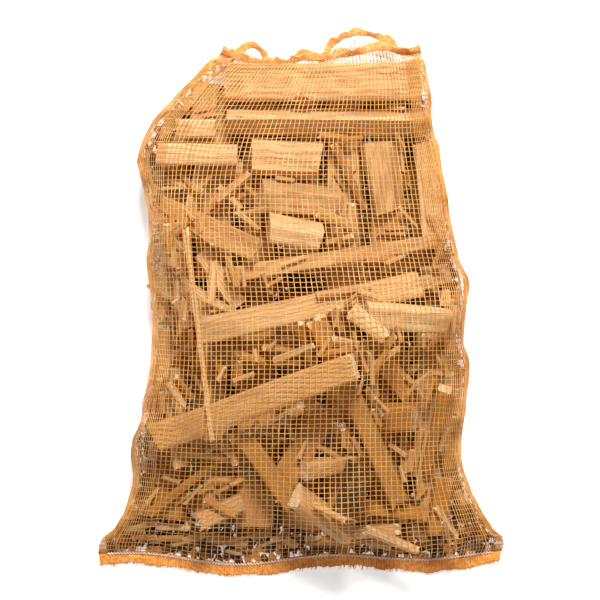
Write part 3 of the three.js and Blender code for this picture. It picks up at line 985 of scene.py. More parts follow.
def lay_split(
    surface: BVHTree,
    start: np.ndarray,
    end: np.ndarray,
    width: float,
    height: float,
    random: np.random.RandomState,
) -> Bar:
    """Lays a small split on what is below it.

    Args:
        surface: The faces that it may rest on.
        start: One end, seen from above.
        end: The other end, seen from above.
        width: Its width.
        height: Its height.
        random: Where its irregularity comes from.

    Returns:
        The prism, at rest.
    """
    length = float(np.linalg.norm(end - start))
    along = (end - start) / length
    across = np.array([-along[1], along[0]])
    samples = []
    for s in np.linspace(-0.5, 0.5, 9):
        for t in (-0.42, 0.0, 0.42):
            x, y = (start + end) / 2.0 + along * s * length + across * t * width
            hit = surface.ray_cast(Vector((x, y, 1.0)), Vector((0.0, 0.0, -1.0)))[0]
            samples.append((s * length, hit.z if hit is not None else 3.2 * MM))
    at, level = np.array(samples).T
    # The lowest straight line that clears every sample below it
    pitches = np.linspace(-0.55, 0.55, 45)
    lifts = [(level - pitch * at).max() + 2.0 * MM * abs(pitch) for pitch in pitches]
    best = float(pitches[int(np.argmin(lifts))])
    lift = float((level - best * at).max()) + 0.6 * MM
    centre = np.array([*(start + end) / 2.0, lift])
    direction = np.array([along[0], along[1], best])
    return split_bar(centre, direction, length, width, height, random)


@dataclass
class SmallSplits:
    """Short splits, slivers and chips that lie in the gaps of the heap, too small for a solid each.

    Attributes:
        heap: The sticks below them.
        rows: Each split's two ends seen from above, its width and its height, all in millimetres.
    """

    heap: Heap
    form: BilletForm
    rows: list[tuple[float, float, float, float, float, float]]
    middle: Vector
    name: str
    seed: int = 900

    def build(self, materials: list[bpy.types.Material]) -> bpy.types.Object:
        """Lays every split in turn and joins them in one piece.

        Args:
            materials: The split face, the end grain and the bark.

        Returns:
            The joined piece.
        """
        meshes = []
        random = np.random.RandomState(self.seed)
        shift = np.array(self.middle[:2])
        for number, row in enumerate(self.rows):
            start, end = np.array(row[0:2]) * MM + shift, np.array(row[2:4]) * MM + shift
            width, height = row[4] * MM, row[5] * MM
            bar = lay_split(self.heap.surface(), start, end, width, height, random)
            self.heap.add(bar)
            billet = Billet(
                name=f"{self.name}_{number}",
                bar=bar,
                form=self.form,
                seed=self.seed + 13 * number,
                tone=float(random.uniform(0.1, 0.95)),
                ends=(EndCut.TORN, EndCut.TORN),
                relief=0.55,
                tear_mm=min(6.0, 0.2 * bar.length / MM),
            )
            meshes.append(billet.build())
        return join_meshes(self.name, meshes, materials)


def join_meshes(
    name: str, meshes: list[bpy.types.Mesh], materials: list[bpy.types.Material]
) -> bpy.types.Object:
    """Joins several meshes in one piece.

    Args:
        name: The piece's name.
        meshes: The meshes, already in place.
        materials: The materials, in slot order.

    Returns:
        The joined piece.
    """
    deselect_all()
    objects = []
    for mesh in meshes:
        for material in materials:
            mesh.materials.append(material)
        part = bpy.data.objects.new(mesh.name, mesh)
        bpy.context.scene.collection.objects.link(part)
        part.select_set(True)
        objects.append(part)
    bpy.context.view_layer.objects.active = objects[0]
    bpy.ops.object.join()
    piece = objects[0]
    piece.name = name
    piece.data.name = name
    deselect_all()
    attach(piece, BODY)
    return piece


@dataclass
class LooseFill:
    """Small splits and chips that have slipped into the gaps and down the sides of the heap.

    Attributes:
        heap: The sticks.
        skin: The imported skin, which everything stays under.
        form: The blank that each piece is shaped from.
        tries: How many places are tested, from the largest piece to the smallest.
        edge_tries: How many more are tested along the sack's outline, all of the smallest size.
        inset: How far a piece keeps from the outline.
        depth: How deep a gap has to be before a piece goes in.
        laid: The pieces that found room.
        around: The broad shape of the heap's top, as Heap.tops gives it.
        foot: Where the filling starts, along the sack.
    """

    heap: Heap
    skin: bpy.types.Object
    form: BilletForm
    tries: int = 3600
    edge_tries: int = 1500
    inset: float = 3.0 * MM
    depth: float = 9.0 * MM
    seed: int = 4100
    name: str = "loose_fill"
    laid: list[Bar] = field(default_factory=list)
    around: tuple[np.ndarray, np.ndarray, float] = field(init=False)
    foot: float = field(init=False)

    def _by_the_edge(
        self, lid: BVHTree, centre: np.ndarray, random: np.random.RandomState
    ) -> tuple[np.ndarray, float]:
        """Moves a place to just inside the sack's outline, and turns the piece along it."""
        if random.rand() < 0.45:
            place = np.array([centre[0], self.foot + random.uniform(0.0, 22.0) * MM])
            return place, random.normal(0.0, 0.5)
        side = 1.0 if random.rand() < 0.5 else -1.0
        edges = []
        for step in (-8.0 * MM, 8.0 * MM):
            start = Vector((side * 0.5, centre[1] + step, 1.0 * MM))
            hit = lid.ray_cast(start, Vector((-side, 0.0, 0.0)))[0]
            edges.append(hit.x if hit is not None else centre[0])
        turn = math.atan2(16.0 * MM, edges[1] - edges[0]) + random.normal(0.0, 0.2)
        middle = (edges[0] + edges[1]) / 2.0 - side * random.uniform(7.0, 24.0) * MM
        return np.array([middle, centre[1]]), turn

    def _room(self, lid: BVHTree, bar: Bar) -> bool:
        """Tells whether a piece lies inside the skin, and deep enough in a gap of the heap."""
        heights, corner, step = self.around
        down = Vector((0.0, 0.0, -1.0))
        middle = (bar.near + bar.far) / 2.0
        for x, y, z in np.concatenate([bar.near, bar.far, middle]):
            for side in (-self.inset, self.inset):
                if lid.ray_cast(Vector((x + side, y - self.inset, 1.0)), down)[0] is None:
                    return False
            i, j = ((np.array([x, y]) - corner) / step).round().astype(int)
            gap = max(19.0 * MM, heights[i, j] - self.depth)
            if z > min(gap, 7.0 * MM + 0.6 * (y - self.foot)):
                return False
        return True

    def lay(self) -> None:
        """Fills the gaps: finds a place for each piece and adds it to the heap."""
        random = np.random.RandomState(self.seed)
        lid = BVHTree.FromObject(self.skin, bpy.context.evaluated_depsgraph_get())
        low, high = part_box(self.skin.name)
        self.around = self.heap.tops(24.0 * MM)
        self.foot = float(low[1]) + 6.0 * MM
        surface = self.heap.surface()
        for number in range(self.tries + self.edge_tries):
            size = max(0.0, 1.0 - number / self.tries)
            length = (18.0 + 56.0 * size * random.uniform(0.4, 1.0)) * MM
            width = (5.0 + 12.0 * size * random.uniform(0.3, 1.0)) * MM
            height = min(width * random.uniform(0.5, 0.9), 10.0 * MM)
            turn = random.normal(0.0, 0.55) + (math.pi / 2.0 if random.rand() < 0.65 else 0.0)
            centre = np.array([random.uniform(low[0], high[0]), random.uniform(low[1], high[1])])
            if number >= self.tries:
                centre, turn = self._by_the_edge(lid, centre, random)
                length, width = random.uniform(14.0, 46.0) * MM, random.uniform(5.0, 13.0) * MM
                height = min(0.55 * width, 6.0 * MM)
            along = np.array([math.cos(turn), math.sin(turn)]) * length / 2.0
            bar = lay_split(surface, centre - along, centre + along, width, height, random)
            if not self._room(lid, bar):
                continue
            self.heap.add(bar)
            self.laid.append(bar)
            surface = self.heap.surface()

    def build(self, bed: BVHTree, materials: list[bpy.types.Material]) -> bpy.types.Object:
        """Shapes the pieces that the net has closed round.

        Args:
            bed: The back of the net.
            materials: The split face, the end grain and the bark.

        Returns:
            The pieces, joined.
        """
        random = np.random.RandomState(self.seed + 1)
        up = Vector((0.0, 0.0, 1.0))
        meshes = []
        for number, bar in enumerate(self.laid):
            corners = np.concatenate([bar.near, bar.far])
            hits = [bed.ray_cast(Vector((x, y, -1.0)), up)[0] for x, y, _ in corners]
            if any(hit is None or hit.z > z + 0.4 * MM for hit, z in zip(hits, corners[:, 2])):
                continue
            billet = Billet(
                name=f"{self.name}_{number}",
                bar=bar,
                form=self.form,
                seed=self.seed + number,
                # Tanner than the small splits: partly painted shade in the gaps and down the sides of the
                # heap.
                tone=float(random.uniform(0.35, 1.0)),
                ends=(EndCut.TORN, EndCut.TORN),
                relief=0.4,
                tear_mm=3.5,
            )
            meshes.append(billet.build())
        LOG.info("%s: %d of %d pieces", self.name, len(meshes), len(self.laid))
        return join_meshes(self.name, meshes, materials)


# ---------------------------------------------------------------------------
# The net
# ---------------------------------------------------------------------------


def resample(points: np.ndarray, shares: np.ndarray) -> np.ndarray:
    """Takes points along a line at given shares of its length.

    Args:
        points: The line's corners, as an (n, 3) array.
        shares: Shares of the length, from 0 to 1.

    Returns:
        One point for each share.
    """
    steps = np.linalg.norm(np.diff(points, axis=0), axis=1)
    along = np.concatenate([[0.0], np.cumsum(steps)])
    wanted = np.asarray(shares) * along[-1]
    return np.stack([np.interp(wanted, along, points[:, k]) for k in range(3)], 1)


def tape_mesh(
    name: str, lines: np.ndarray, normals: np.ndarray, widths: np.ndarray, thickness: float
) -> tuple[np.ndarray, np.ndarray]:
    """Sweeps a flat four-sided tape along each of several lines.

    Args:
        name: What the tapes are, for the log.
        lines: The lines' points, as a (lines, points, 3) array.
        normals: The way the tape faces at each point.
        widths: The tape's width at each point.
        thickness: The tape's thickness.

    Returns:
        The vertices and the faces.
    """
    tangents = np.gradient(lines, axis=1)
    sides = np.cross(tangents, normals)
    sides /= np.maximum(np.linalg.norm(sides, axis=2), 1e-9)[..., None]
    half = sides * widths[..., None] / 2.0
    rise = normals * thickness / 2.0
    corners = np.stack(
        [lines - half - rise, lines + half - rise, lines + half + rise, lines - half + rise], 2
    )
    count, length = lines.shape[:2]
    at = (np.arange(count)[:, None] * length + np.arange(length - 1)[None, :]) * 4
    faces = [
        np.stack([at + k, at + 4 + k, at + 4 + (k + 1) % 4, at + (k + 1) % 4], -1).reshape(-1, 4)
        for k in range(4)
    ]
    first = np.arange(count) * length * 4
    last = first + (length - 1) * 4
    faces.append(np.stack([first, first + 1, first + 2, first + 3], -1))
    faces.append(np.stack([last + 3, last + 2, last + 1, last], -1))
    LOG.info("%s: %d tapes of %d points", name, count, length)
    return corners.reshape(-1, 3), np.concatenate(faces)


@dataclass
class NetTube:
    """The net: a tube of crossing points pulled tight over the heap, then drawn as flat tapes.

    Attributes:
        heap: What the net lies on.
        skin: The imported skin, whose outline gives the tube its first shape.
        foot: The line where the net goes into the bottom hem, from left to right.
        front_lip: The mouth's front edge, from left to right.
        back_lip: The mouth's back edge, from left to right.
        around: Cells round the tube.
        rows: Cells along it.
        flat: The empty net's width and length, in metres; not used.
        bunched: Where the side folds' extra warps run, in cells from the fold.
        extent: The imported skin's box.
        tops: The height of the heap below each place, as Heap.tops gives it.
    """

    heap: Heap
    skin: bpy.types.Object
    foot: np.ndarray
    front_lip: np.ndarray
    back_lip: np.ndarray
    around: int = 136
    rows: int = 108
    clearance: float = 1.5 * MM
    floor: float = 0.5 * MM
    warp_width: float = 0.74 * MM
    weft_width: float = 0.5 * MM
    thickness: float = 0.26 * MM
    slack: float = 1.0 * MM
    flat: tuple[float, float] = (0.41, 0.60)
    bulge: float = 1.012
    bunched: np.ndarray = field(
        default_factory=lambda: np.concatenate(
            [np.arange(0.13, 1.9, 0.15), np.arange(2.3, 3.6, 0.4), np.arange(4.5, 7.0, 1.0)]
        )
    )
    seed: int = 77
    extent: tuple[Vector, Vector] = field(init=False)
    tops: tuple[np.ndarray, np.ndarray, float] = field(init=False)

    def _section(
        self, tree: BVHTree, wood: BVHTree, y: float, count: int
    ) -> tuple[np.ndarray, tuple[float, float]]:
        """One ring of the tube at one place along the sack, and its two sides."""
        down = Vector((0.0, 0.0, -1.0))
        low, high = self.extent
        level = self.floor + 0.4 * MM
        left = tree.ray_cast(Vector((low[0] - 0.05, y, level)), Vector((1.0, 0.0, 0.0)))[0]
        right = tree.ray_cast(Vector((high[0] + 0.05, y, level)), Vector((-1.0, 0.0, 0.0)))[0]
        x0, x1 = left.x, right.x
        ring = [(x0, y, level)]
        for x in np.linspace(x0 + 0.3 * MM, x1 - 0.3 * MM, 90):
            above = Vector((x, y, 1.0))
            hits = [tree.ray_cast(above, down)[0], wood.ray_cast(above, down)[0]]
            ring.append((x, y, max([level] + [hit.z + 1.5 * MM for hit in hits if hit is not None])))
        ring.append((x1, y, level))
        front = np.array(ring)
        back = np.array([(x, y, level) for x in np.linspace(x1, x0, 60)])
        whole = np.concatenate([front, back[1:]])
        front_length = np.linalg.norm(np.diff(front, axis=0), axis=1).sum()
        total = np.linalg.norm(np.diff(whole, axis=0), axis=1).sum()
        start = max(0.0, (front_length - total / 2.0) / 2.0) / total
        shares = (start + np.arange(count) / count) % 1.0
        return resample(whole, shares), (x0 * self.bulge, x1 * self.bulge)

    def _pinned(self, count: int) -> tuple[np.ndarray, np.ndarray]:
        """The first and the last ring, held by the hem and by the mouth."""
        half = count // 2
        shares = np.arange(half) / half
        lift = np.array([0.0, 0.0, 0.7 * MM])
        foot = np.concatenate(
            [resample(self.foot, shares) + lift, resample(self.foot[::-1], shares) - lift]
        )
        mouth = np.concatenate(
            [resample(self.front_lip, shares), resample(self.back_lip[::-1], shares)]
        )
        return foot, mouth

    def _above(self, grid: np.ndarray) -> np.ndarray:
        """Keeps the front of the net over the top of everything in the sack."""
        front = slice(1, self.around // 2 if grid.shape[1] == self.around else self.around // 4)
        heights, corner, step = self.tops
        part = grid[1:-1, front]
        at = ((part[..., :2] - corner) / step).round().astype(int)
        at = np.clip(at, 0, np.array(heights.shape) - 1)
        floor = heights[at[..., 0], at[..., 1]]
        floor = np.where(floor > 0.0, floor + self.clearance, self.floor)
        part[..., 2] = np.maximum(part[..., 2], floor)
        return grid

    def _relax(self, grid: np.ndarray, outline: np.ndarray, passes: int) -> np.ndarray:
        """Pulls the net tight while the sticks, the floor and the stiff side folds hold it off."""
        rows, count = grid.shape[:2]
        fold = np.arange(-1, 2)
        for number in range(passes):
            side = (np.roll(grid, 1, 1) + np.roll(grid, -1, 1)) / 2.0
            moved = grid.copy()
            length = (grid[2:] + grid[:-2]) / 2.0
            moved[1:-1] += 0.5 * (0.5 * (side[1:-1] + length) - grid[1:-1])
            inner = moved[1:-1].reshape(-1, 3)
            distance, out = self.heap.sample(inner)
            push = np.clip(self.clearance - distance, 0.0, 5.0 * MM)
            inner = inner + out * push[:, None]
            inner[:, 2] = np.maximum(inner[:, 2], self.floor)
            grid[1:-1] = inner.reshape(rows - 2, count, 3)
            grid = self._above(grid)
            grid[1:-1, fold % count, 0] = outline[1:-1, :1]
            grid[1:-1, (count // 2 + fold) % count, 0] = outline[1:-1, 1:]
        return grid

    def _finer(self, grid: np.ndarray) -> np.ndarray:
        """Puts a new point between every two."""
        rows, count = grid.shape[:2]
        wide = np.empty((rows, count * 2, 3))
        wide[:, ::2] = grid
        wide[:, 1::2] = (grid + np.roll(grid, -1, 1)) / 2.0
        tall = np.empty((rows * 2 - 1, count * 2, 3))
        tall[::2] = wide
        tall[1::2] = (wide[1:] + wide[:-1]) / 2.0
        return tall

    def bed(self, grid: np.ndarray) -> BVHTree:
        """The back of the net as a closed sheet, for what lies on it."""
        back = grid[:, (self.around // 2 + np.arange(self.around // 2 + 1)) % self.around]
        rows, count = back.shape[:2]
        at = np.arange(rows - 1)[:, None] * count + np.arange(count - 1)[None, :]
        quads = np.stack([at, at + 1, at + count + 1, at + count], -1).reshape(-1, 4)
        return BVHTree.FromPolygons(back.reshape(-1, 3).tolist(), quads.tolist())

    def shape(self) -> np.ndarray:
        """Finds where the net's crossings lie.

        Returns:
            The crossings, as a (rows + 1, around, 3) array from the foot to the mouth.
        """
        tree = BVHTree.FromObject(self.skin, bpy.context.evaluated_depsgraph_get())
        count, rows = self.around // 2, self.rows // 2
        self.extent = low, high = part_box(self.skin.name)
        start = float(self.foot[:, 1].max()) + 3.0 * MM
        levels = np.linspace(start, high[1] - 22.0 * MM, rows - 1)
        wood = self.heap.surface()
        self.tops = self.heap.tops(2.4 * MM)
        sections = [self._section(tree, wood, float(y), count) for y in levels]
        foot, mouth = self._pinned(count)
        grid = np.stack([foot, *(ring for ring, _ in sections), mouth])
        ends = [(ring[:, 0].min(), ring[:, 0].max()) for ring in (foot, mouth)]
        outline = np.array([ends[0], *(sides for _, sides in sections), ends[1]])
        grid = self._relax(grid, outline, 160)
        grid = self._finer(grid)
        grid[0], grid[-1] = self._pinned(self.around)
        finer = np.empty((len(grid), 2))
        finer[::2] = outline
        finer[1::2] = (outline[1:] + outline[:-1]) / 2.0
        grid = self._relax(grid, finer, 70)
        return self._crumple(grid)

    def _normals(self, grid: np.ndarray) -> np.ndarray:
        """Which way is out of the tube at each crossing."""
        along = np.gradient(grid, axis=0)
        side = np.roll(grid, -1, 1) - np.roll(grid, 1, 1)
        normals = np.cross(side, along)
        normals /= np.maximum(np.linalg.norm(normals, axis=2), 1e-9)[..., None]
        return -normals if normals[len(grid) // 2, self.around // 4, 2] < 0.0 else normals

    def _crumple(self, grid: np.ndarray) -> np.ndarray:
        """Adds what a knitted net always shows: uneven cells, slack and gathers at the mouth."""
        rows, count = grid.shape[:2]
        normals = self._normals(grid)
        side = np.roll(grid, -1, 1) - np.roll(grid, 1, 1)
        side /= np.maximum(np.linalg.norm(side, axis=2), 1e-9)[..., None]
        along = np.gradient(grid, axis=0)
        along /= np.maximum(np.linalg.norm(along, axis=2), 1e-9)[..., None]
        flat = grid.reshape(-1, 3)
        share = np.repeat(np.linspace(0.0, 1.0, rows), count)
        held = np.clip(np.minimum(share, 1.0 - share) * 14.0, 0.0, 1.0)
        mouth = np.clip((share - 0.82) / 0.18, 0.0, 1.0)
        foot = np.clip((0.14 - share) / 0.14, 0.0, 1.0)
        cells = np.stack([np.tile(np.arange(count), rows), share * self.rows, 0 * share], 1)
        broad = value_noise(flat / (34.0 * MM), self.seed)
        middle = value_noise(flat / (13.0 * MM), self.seed + 1)
        gathers = value_noise(cells / np.array([2.6, 22.0, 1.0]), self.seed + 2)
        fine = value_noise(cells / np.array([1.3, 1.3, 1.0]), self.seed + 3)
        out = 0.9 * broad + 0.6 * middle + 0.35 * fine
        out = (np.maximum(out, -0.2) + 1.6 * foot * middle + 3.2 * mouth * gathers) * self.slack
        slip_side = 1.5 * value_noise(flat / (41.0 * MM), self.seed + 4)
        slip_side += 0.9 * value_noise(cells / np.array([1.7, 16.0, 1.0]), self.seed + 5)
        slip_side += 0.35 * value_noise(cells / 1.2, self.seed + 6)
        slip_along = 1.3 * value_noise(flat / (37.0 * MM), self.seed + 7)
        slip_along += 0.9 * value_noise(cells / np.array([14.0, 1.6, 1.0]), self.seed + 8)
        slip_along += 0.35 * value_noise(cells / 1.1, self.seed + 9)
        flat = flat + normals.reshape(-1, 3) * (out * held)[:, None]
        flat = flat + side.reshape(-1, 3) * (slip_side * held * 0.8 * MM)[:, None]
        flat = flat + along.reshape(-1, 3) * (slip_along * held * 0.8 * MM)[:, None]
        distance, away = self.heap.sample(flat)
        flat = flat + away * np.clip(0.7 * self.clearance - distance, 0.0, 3.0 * MM)[:, None]
        flat[:, 2] = np.maximum(flat[:, 2], self.floor)
        result = flat.reshape(rows, count, 3)
        result[0], result[-1] = grid[0], grid[-1]
        return self._above(result)

    @staticmethod
    def _between(part: np.ndarray, places: np.ndarray) -> np.ndarray:
        """Takes the lines along the tube at given places between its columns."""
        whole = np.floor(places).astype(int)
        share = (places - whole)[None, :, None]
        lines = part[:, whole] * (1.0 - share) + part[:, np.minimum(whole + 1, part.shape[1] - 1)] * share
        return np.swapaxes(lines, 0, 1)

    def build(self, grid: np.ndarray, material: bpy.types.Material) -> list[bpy.types.Object]:
        """Draws the tapes, the front half and the back half each as one piece.

        Args:
            grid: The net's crossings.
            material: The tape's finish.

        Returns:
            The two pieces.
        """
        normals = self._normals(grid)
        half = self.around // 2
        random = np.random.RandomState(self.seed)
        pieces = []
        for name, first in (("net_front", 0), ("net_back", half)):
            columns = (first + np.arange(half + 1)) % self.around
            part, facing = grid[:, columns], normals[:, columns]
            places = np.sort(np.concatenate([np.arange(half), self.bunched, half - self.bunched]))
            warps = self._between(part, places)
            facing_warps = self._between(facing, places)
            warp_widths = self.warp_width * random.uniform(0.75, 1.25, warps.shape[:2])
            weft_widths = self.weft_width * random.uniform(0.7, 1.3, part[1:-1].shape[:2])
            raised = warps + facing_warps * 0.12 * MM
            points_a, faces_a = tape_mesh(
                f"{name} warps", raised, facing_warps, warp_widths, self.thickness
            )
            points_b, faces_b = tape_mesh(
                f"{name} wefts", part[1:-1], facing[1:-1], weft_widths, self.thickness * 0.8
            )
            points = np.concatenate([points_a, points_b])
            points[:, 2] = np.maximum(points[:, 2], 0.1 * MM)
            mesh = mesh_from_arrays(name, points, np.concatenate([faces_a, faces_b + len(points_a)]))
            mesh.shade_smooth()
            piece = add_object(mesh, Slot.NET, material)
            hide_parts(self.skin.name)
            pieces.append(piece)
        return pieces


# ---------------------------------------------------------------------------
# The hems
# ---------------------------------------------------------------------------


def band_mesh(
    name: str,
    line: np.ndarray,
    across: np.ndarray,
    normals: np.ndarray,
    columns: int,
    thickness: np.ndarray,
) -> bpy.types.Mesh:
    """Makes a closed band along a line, with a UV map in metres for its weave.

    Args:
        name: The mesh's name.
        line: The band's first edge, as an (n, 3) array.
        across: From that edge to the other one, at each point.
        normals: The way the band faces, at each point.
        columns: Rows of faces across the band.
        thickness: The band's thickness at each point and column, as an (n, columns + 1) array.

    Returns:
        The mesh.
    """
    count = len(line)
    shares = np.linspace(0.0, 1.0, columns + 1)
    middle = line[:, None, :] + across[:, None, :] * shares[None, :, None]
    rise = normals[:, None, :] * thickness[:, :, None] / 2.0
    front, back = middle + rise, middle - rise
    loop = np.concatenate([front, back[:, ::-1]], axis=1)
    width = loop.shape[1]
    at = (np.arange(count - 1)[:, None] * width + np.arange(width)[None, :])
    step = np.where(np.arange(width) == width - 1, 1 - width, 1)[None, :]
    quads = np.stack([at, at + width, at + width + step, at + step], -1).reshape(-1, 4)
    first = np.arange(width)[::-1]
    last = (count - 1) * width + np.arange(width)
    faces = [list(row) for row in quads.tolist()]
    for cap in (first, last):
        for k in range(columns):
            a, b = cap[k], cap[k + 1]
            c, d = cap[width - 2 - k], cap[width - 1 - k]
            faces.append([int(a), int(b), int(c), int(d)])
    mesh = mesh_from_arrays(name, loop.reshape(-1, 3), np.array(faces))
    along = np.concatenate([[0.0], np.cumsum(np.linalg.norm(np.diff(line, axis=0), axis=1))])
    reach = float(np.linalg.norm(across, axis=1).mean())
    place = np.empty((count, width, 2))
    place[..., 0] = along[:, None]
    place[..., 1] = np.concatenate([shares, shares[::-1]])[None, :] * reach
    place = place.reshape(-1, 2)
    layer = mesh.uv_layers.new(name="weave")
    corner = np.empty(len(mesh.loops), dtype=np.int32)
    mesh.loops.foreach_get("vertex_index", corner)
    layer.data.foreach_set("uv", place[corner].ravel())
    shape = bmesh.new()
    shape.from_mesh(mesh)
    bmesh.ops.recalc_face_normals(shape, faces=shape.faces)
    shape.to_mesh(mesh)
    shape.free()
    mesh.shade_smooth()
    return mesh


@dataclass
class BottomHem:
    """The dense band that closes the sack's foot, with its fringe and its overlock thread.

    Attributes:
        band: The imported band.
        thread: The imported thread.
    """

    band: bpy.types.Object
    thread: bpy.types.Object
    pitch: float = 1.1 * MM
    columns: int = 10
    stitch: float = 3.1 * MM
    thread_radius: float = 0.5 * MM
    seed: int = 301

    def edges(self) -> tuple[np.ndarray, np.ndarray]:
        """The band's upper and lower edges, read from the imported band, from left to right."""
        points = np.empty(len(self.band.data.vertices) * 3)
        self.band.data.vertices.foreach_get("co", points)
        points = np.unique(points.reshape(-1, 3).round(6), axis=0)
        middle_z = points[:, 2].mean()
        points = points[np.argsort(points[:, 0])]
        # Neighbouring stations differ little in Y, so a running middle parts the two edges
        smooth = np.convolve(np.pad(points[:, 1], 12, mode="edge"), np.ones(25) / 25.0, "valid")
        upper = points[(points[:, 1] > smooth) & (points[:, 2] > middle_z)]
        lower = points[(points[:, 1] < smooth) & (points[:, 2] > middle_z)]
        upper[:, 2] = lower[:, 2] = middle_z
        return upper, lower

    def foot_line(self) -> np.ndarray:
        """Where the net goes into the band: 2 mm below its upper edge."""
        upper, _ = self.edges()
        return upper - np.array([0.0, 2.0 * MM, 0.0])

    def build_band(self, material: bpy.types.Material) -> bpy.types.Object:
        """Weaves the band: ribs across it, a ruffled lower edge and a soft roll.

        Args:
            material: The weave's finish.

        Returns:
            The band.
        """
        upper, lower = self.edges()
        length = float(np.linalg.norm(np.diff(upper, axis=0), axis=1).sum())
        count = int(length / self.pitch * 2.0)
        shares = np.linspace(0.0, 1.0, count)
        top, bottom = resample(upper, shares), resample(lower, shares)
        place = np.stack([shares * length, 0.0 * shares, 0.0 * shares], 1)
        ruffle = value_noise(place / (17.0 * MM), self.seed)
        frayed = value_noise(place / (2.3 * MM), self.seed + 1)
        waves = value_noise(place / (38.0 * MM), self.seed + 5)
        bottom[:, 1] += (2.6 * waves + 1.6 * ruffle + 0.7 * frayed - 0.4) * MM
        top[:, 2] += 0.35 * MM
        bottom[:, 2] += (0.5 + 0.9 * np.abs(ruffle)) * MM
        rib = 0.5 + 0.5 * np.sin(2.0 * math.pi * shares * length / (self.pitch * 1.6))
        across_shape = np.sin(np.linspace(0.12, 0.93, self.columns + 1) * math.pi)
        uneven = value_noise(place / (6.0 * MM), self.seed + 2)
        thickness = (0.9 + 0.5 * rib + 0.3 * uneven)[:, None] * MM * (0.45 + 0.75 * across_shape)
        normals = np.tile(np.array([0.0, 0.0, 1.0]), (count, 1))
        mesh = band_mesh("hem_band", top, bottom - top, normals, self.columns, thickness)
        low = min(vertex.co.z for vertex in mesh.vertices)
        for vertex in mesh.vertices:
            vertex.co.z += max(0.0, 0.15 * MM - low)
        piece = add_object(mesh, Slot.HEM, material)
        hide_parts(self.band.name)
        return piece

    def build_fringe(self, material: bpy.types.Material) -> bpy.types.Object:
        """Makes the cut tape ends that stick out below the band."""
        _, lower = self.edges()
        random = np.random.RandomState(self.seed + 9)
        count = 210
        starts = resample(lower, np.sort(random.uniform(0.004, 0.996, count)))
        starts[:, 1] += 1.6 * MM
        starts[:, 2] = 0.9 * MM + random.uniform(0.0, 1.0 * MM, count)
        reach = random.uniform(2.2, 5.0, count) * MM
        lean = random.normal(0.0, 0.35, count)
        steps = np.linspace(0.0, 1.0, 5)
        lines = np.stack(
            [
                starts[:, None, 0] + (lean * reach)[:, None] * steps**1.5,
                starts[:, None, 1] - reach[:, None] * steps,
                starts[:, None, 2] + (random.uniform(-0.4, 0.8, count) * MM)[:, None] * steps,
            ],
            2,
        )
        normals = np.zeros_like(lines)
        normals[..., 2] = 1.0
        widths = np.tile(np.linspace(0.9, 0.5, 5) * MM, (count, 1))
        points, faces = tape_mesh("fringe", lines, normals, widths, 0.25 * MM)
        points[:, 2] = np.maximum(points[:, 2], 0.1 * MM)
        piece = add_object(mesh_from_arrays("hem_fringe", points, faces), Slot.HEM, material)
        return piece

    def build_stitches(self, material: bpy.types.Material) -> bpy.types.Object:
        """Runs the overlock thread along the band: a zigzag that dips at each stitch."""
        low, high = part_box(self.thread.name)
        upper, _ = self.edges()
        inside = upper[(upper[:, 0] > low[0]) & (upper[:, 0] < high[0])]
        length = float(np.linalg.norm(np.diff(inside, axis=0), axis=1).sum())
        stitches = int(length / self.stitch)
        steps = np.linspace(0.0, 1.0, stitches * 10)
        line = resample(inside, steps)
        turn = steps * stitches * 2.0 * math.pi
        random = np.random.RandomState(self.seed + 4)
        sizes = random.uniform(0.6, 1.4, stitches + 1)
        uneven = np.interp(steps * stitches, np.arange(stitches + 1), sizes)
        line[:, 1] += -2.0 * MM + 0.8 * MM * uneven * np.sin(turn)
        line[:, 2] = (low[2] + high[2]) / 2.0 - 0.2 * MM + 0.45 * MM * np.sin(2.0 * turn)
        sides = 6
        tangent = np.gradient(line, axis=0)
        tangent /= np.linalg.norm(tangent, axis=1)[:, None]
        side = np.cross(tangent, [0.0, 0.0, 1.0])
        side /= np.linalg.norm(side, axis=1)[:, None]
        up = np.cross(side, tangent)
        turns = np.arange(sides) * 2.0 * math.pi / sides
        ring = side[:, None] * np.cos(turns)[None, :, None] + up[:, None] * np.sin(turns)[None, :, None]
        points = (line[:, None] + ring * self.thread_radius).reshape(-1, 3)
        at = np.arange(len(line) - 1)[:, None] * sides
        faces = [
            np.stack([at + k, at + (k + 1) % sides, at + sides + (k + 1) % sides, at + sides + k], -1)
            for k in range(sides)
        ]
        rows = np.concatenate(faces).reshape(-1, 4).tolist()
        rows.append(list(range(sides))[::-1])
        rows.append([(len(line) - 1) * sides + k for k in range(sides)])
        mesh = bpy.data.meshes.new("overlock_thread")
        mesh.from_pydata(points.tolist(), [], rows)
        mesh.shade_smooth()
        piece = add_object(mesh, Slot.THREAD, material)
        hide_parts(self.thread.name)
        return piece


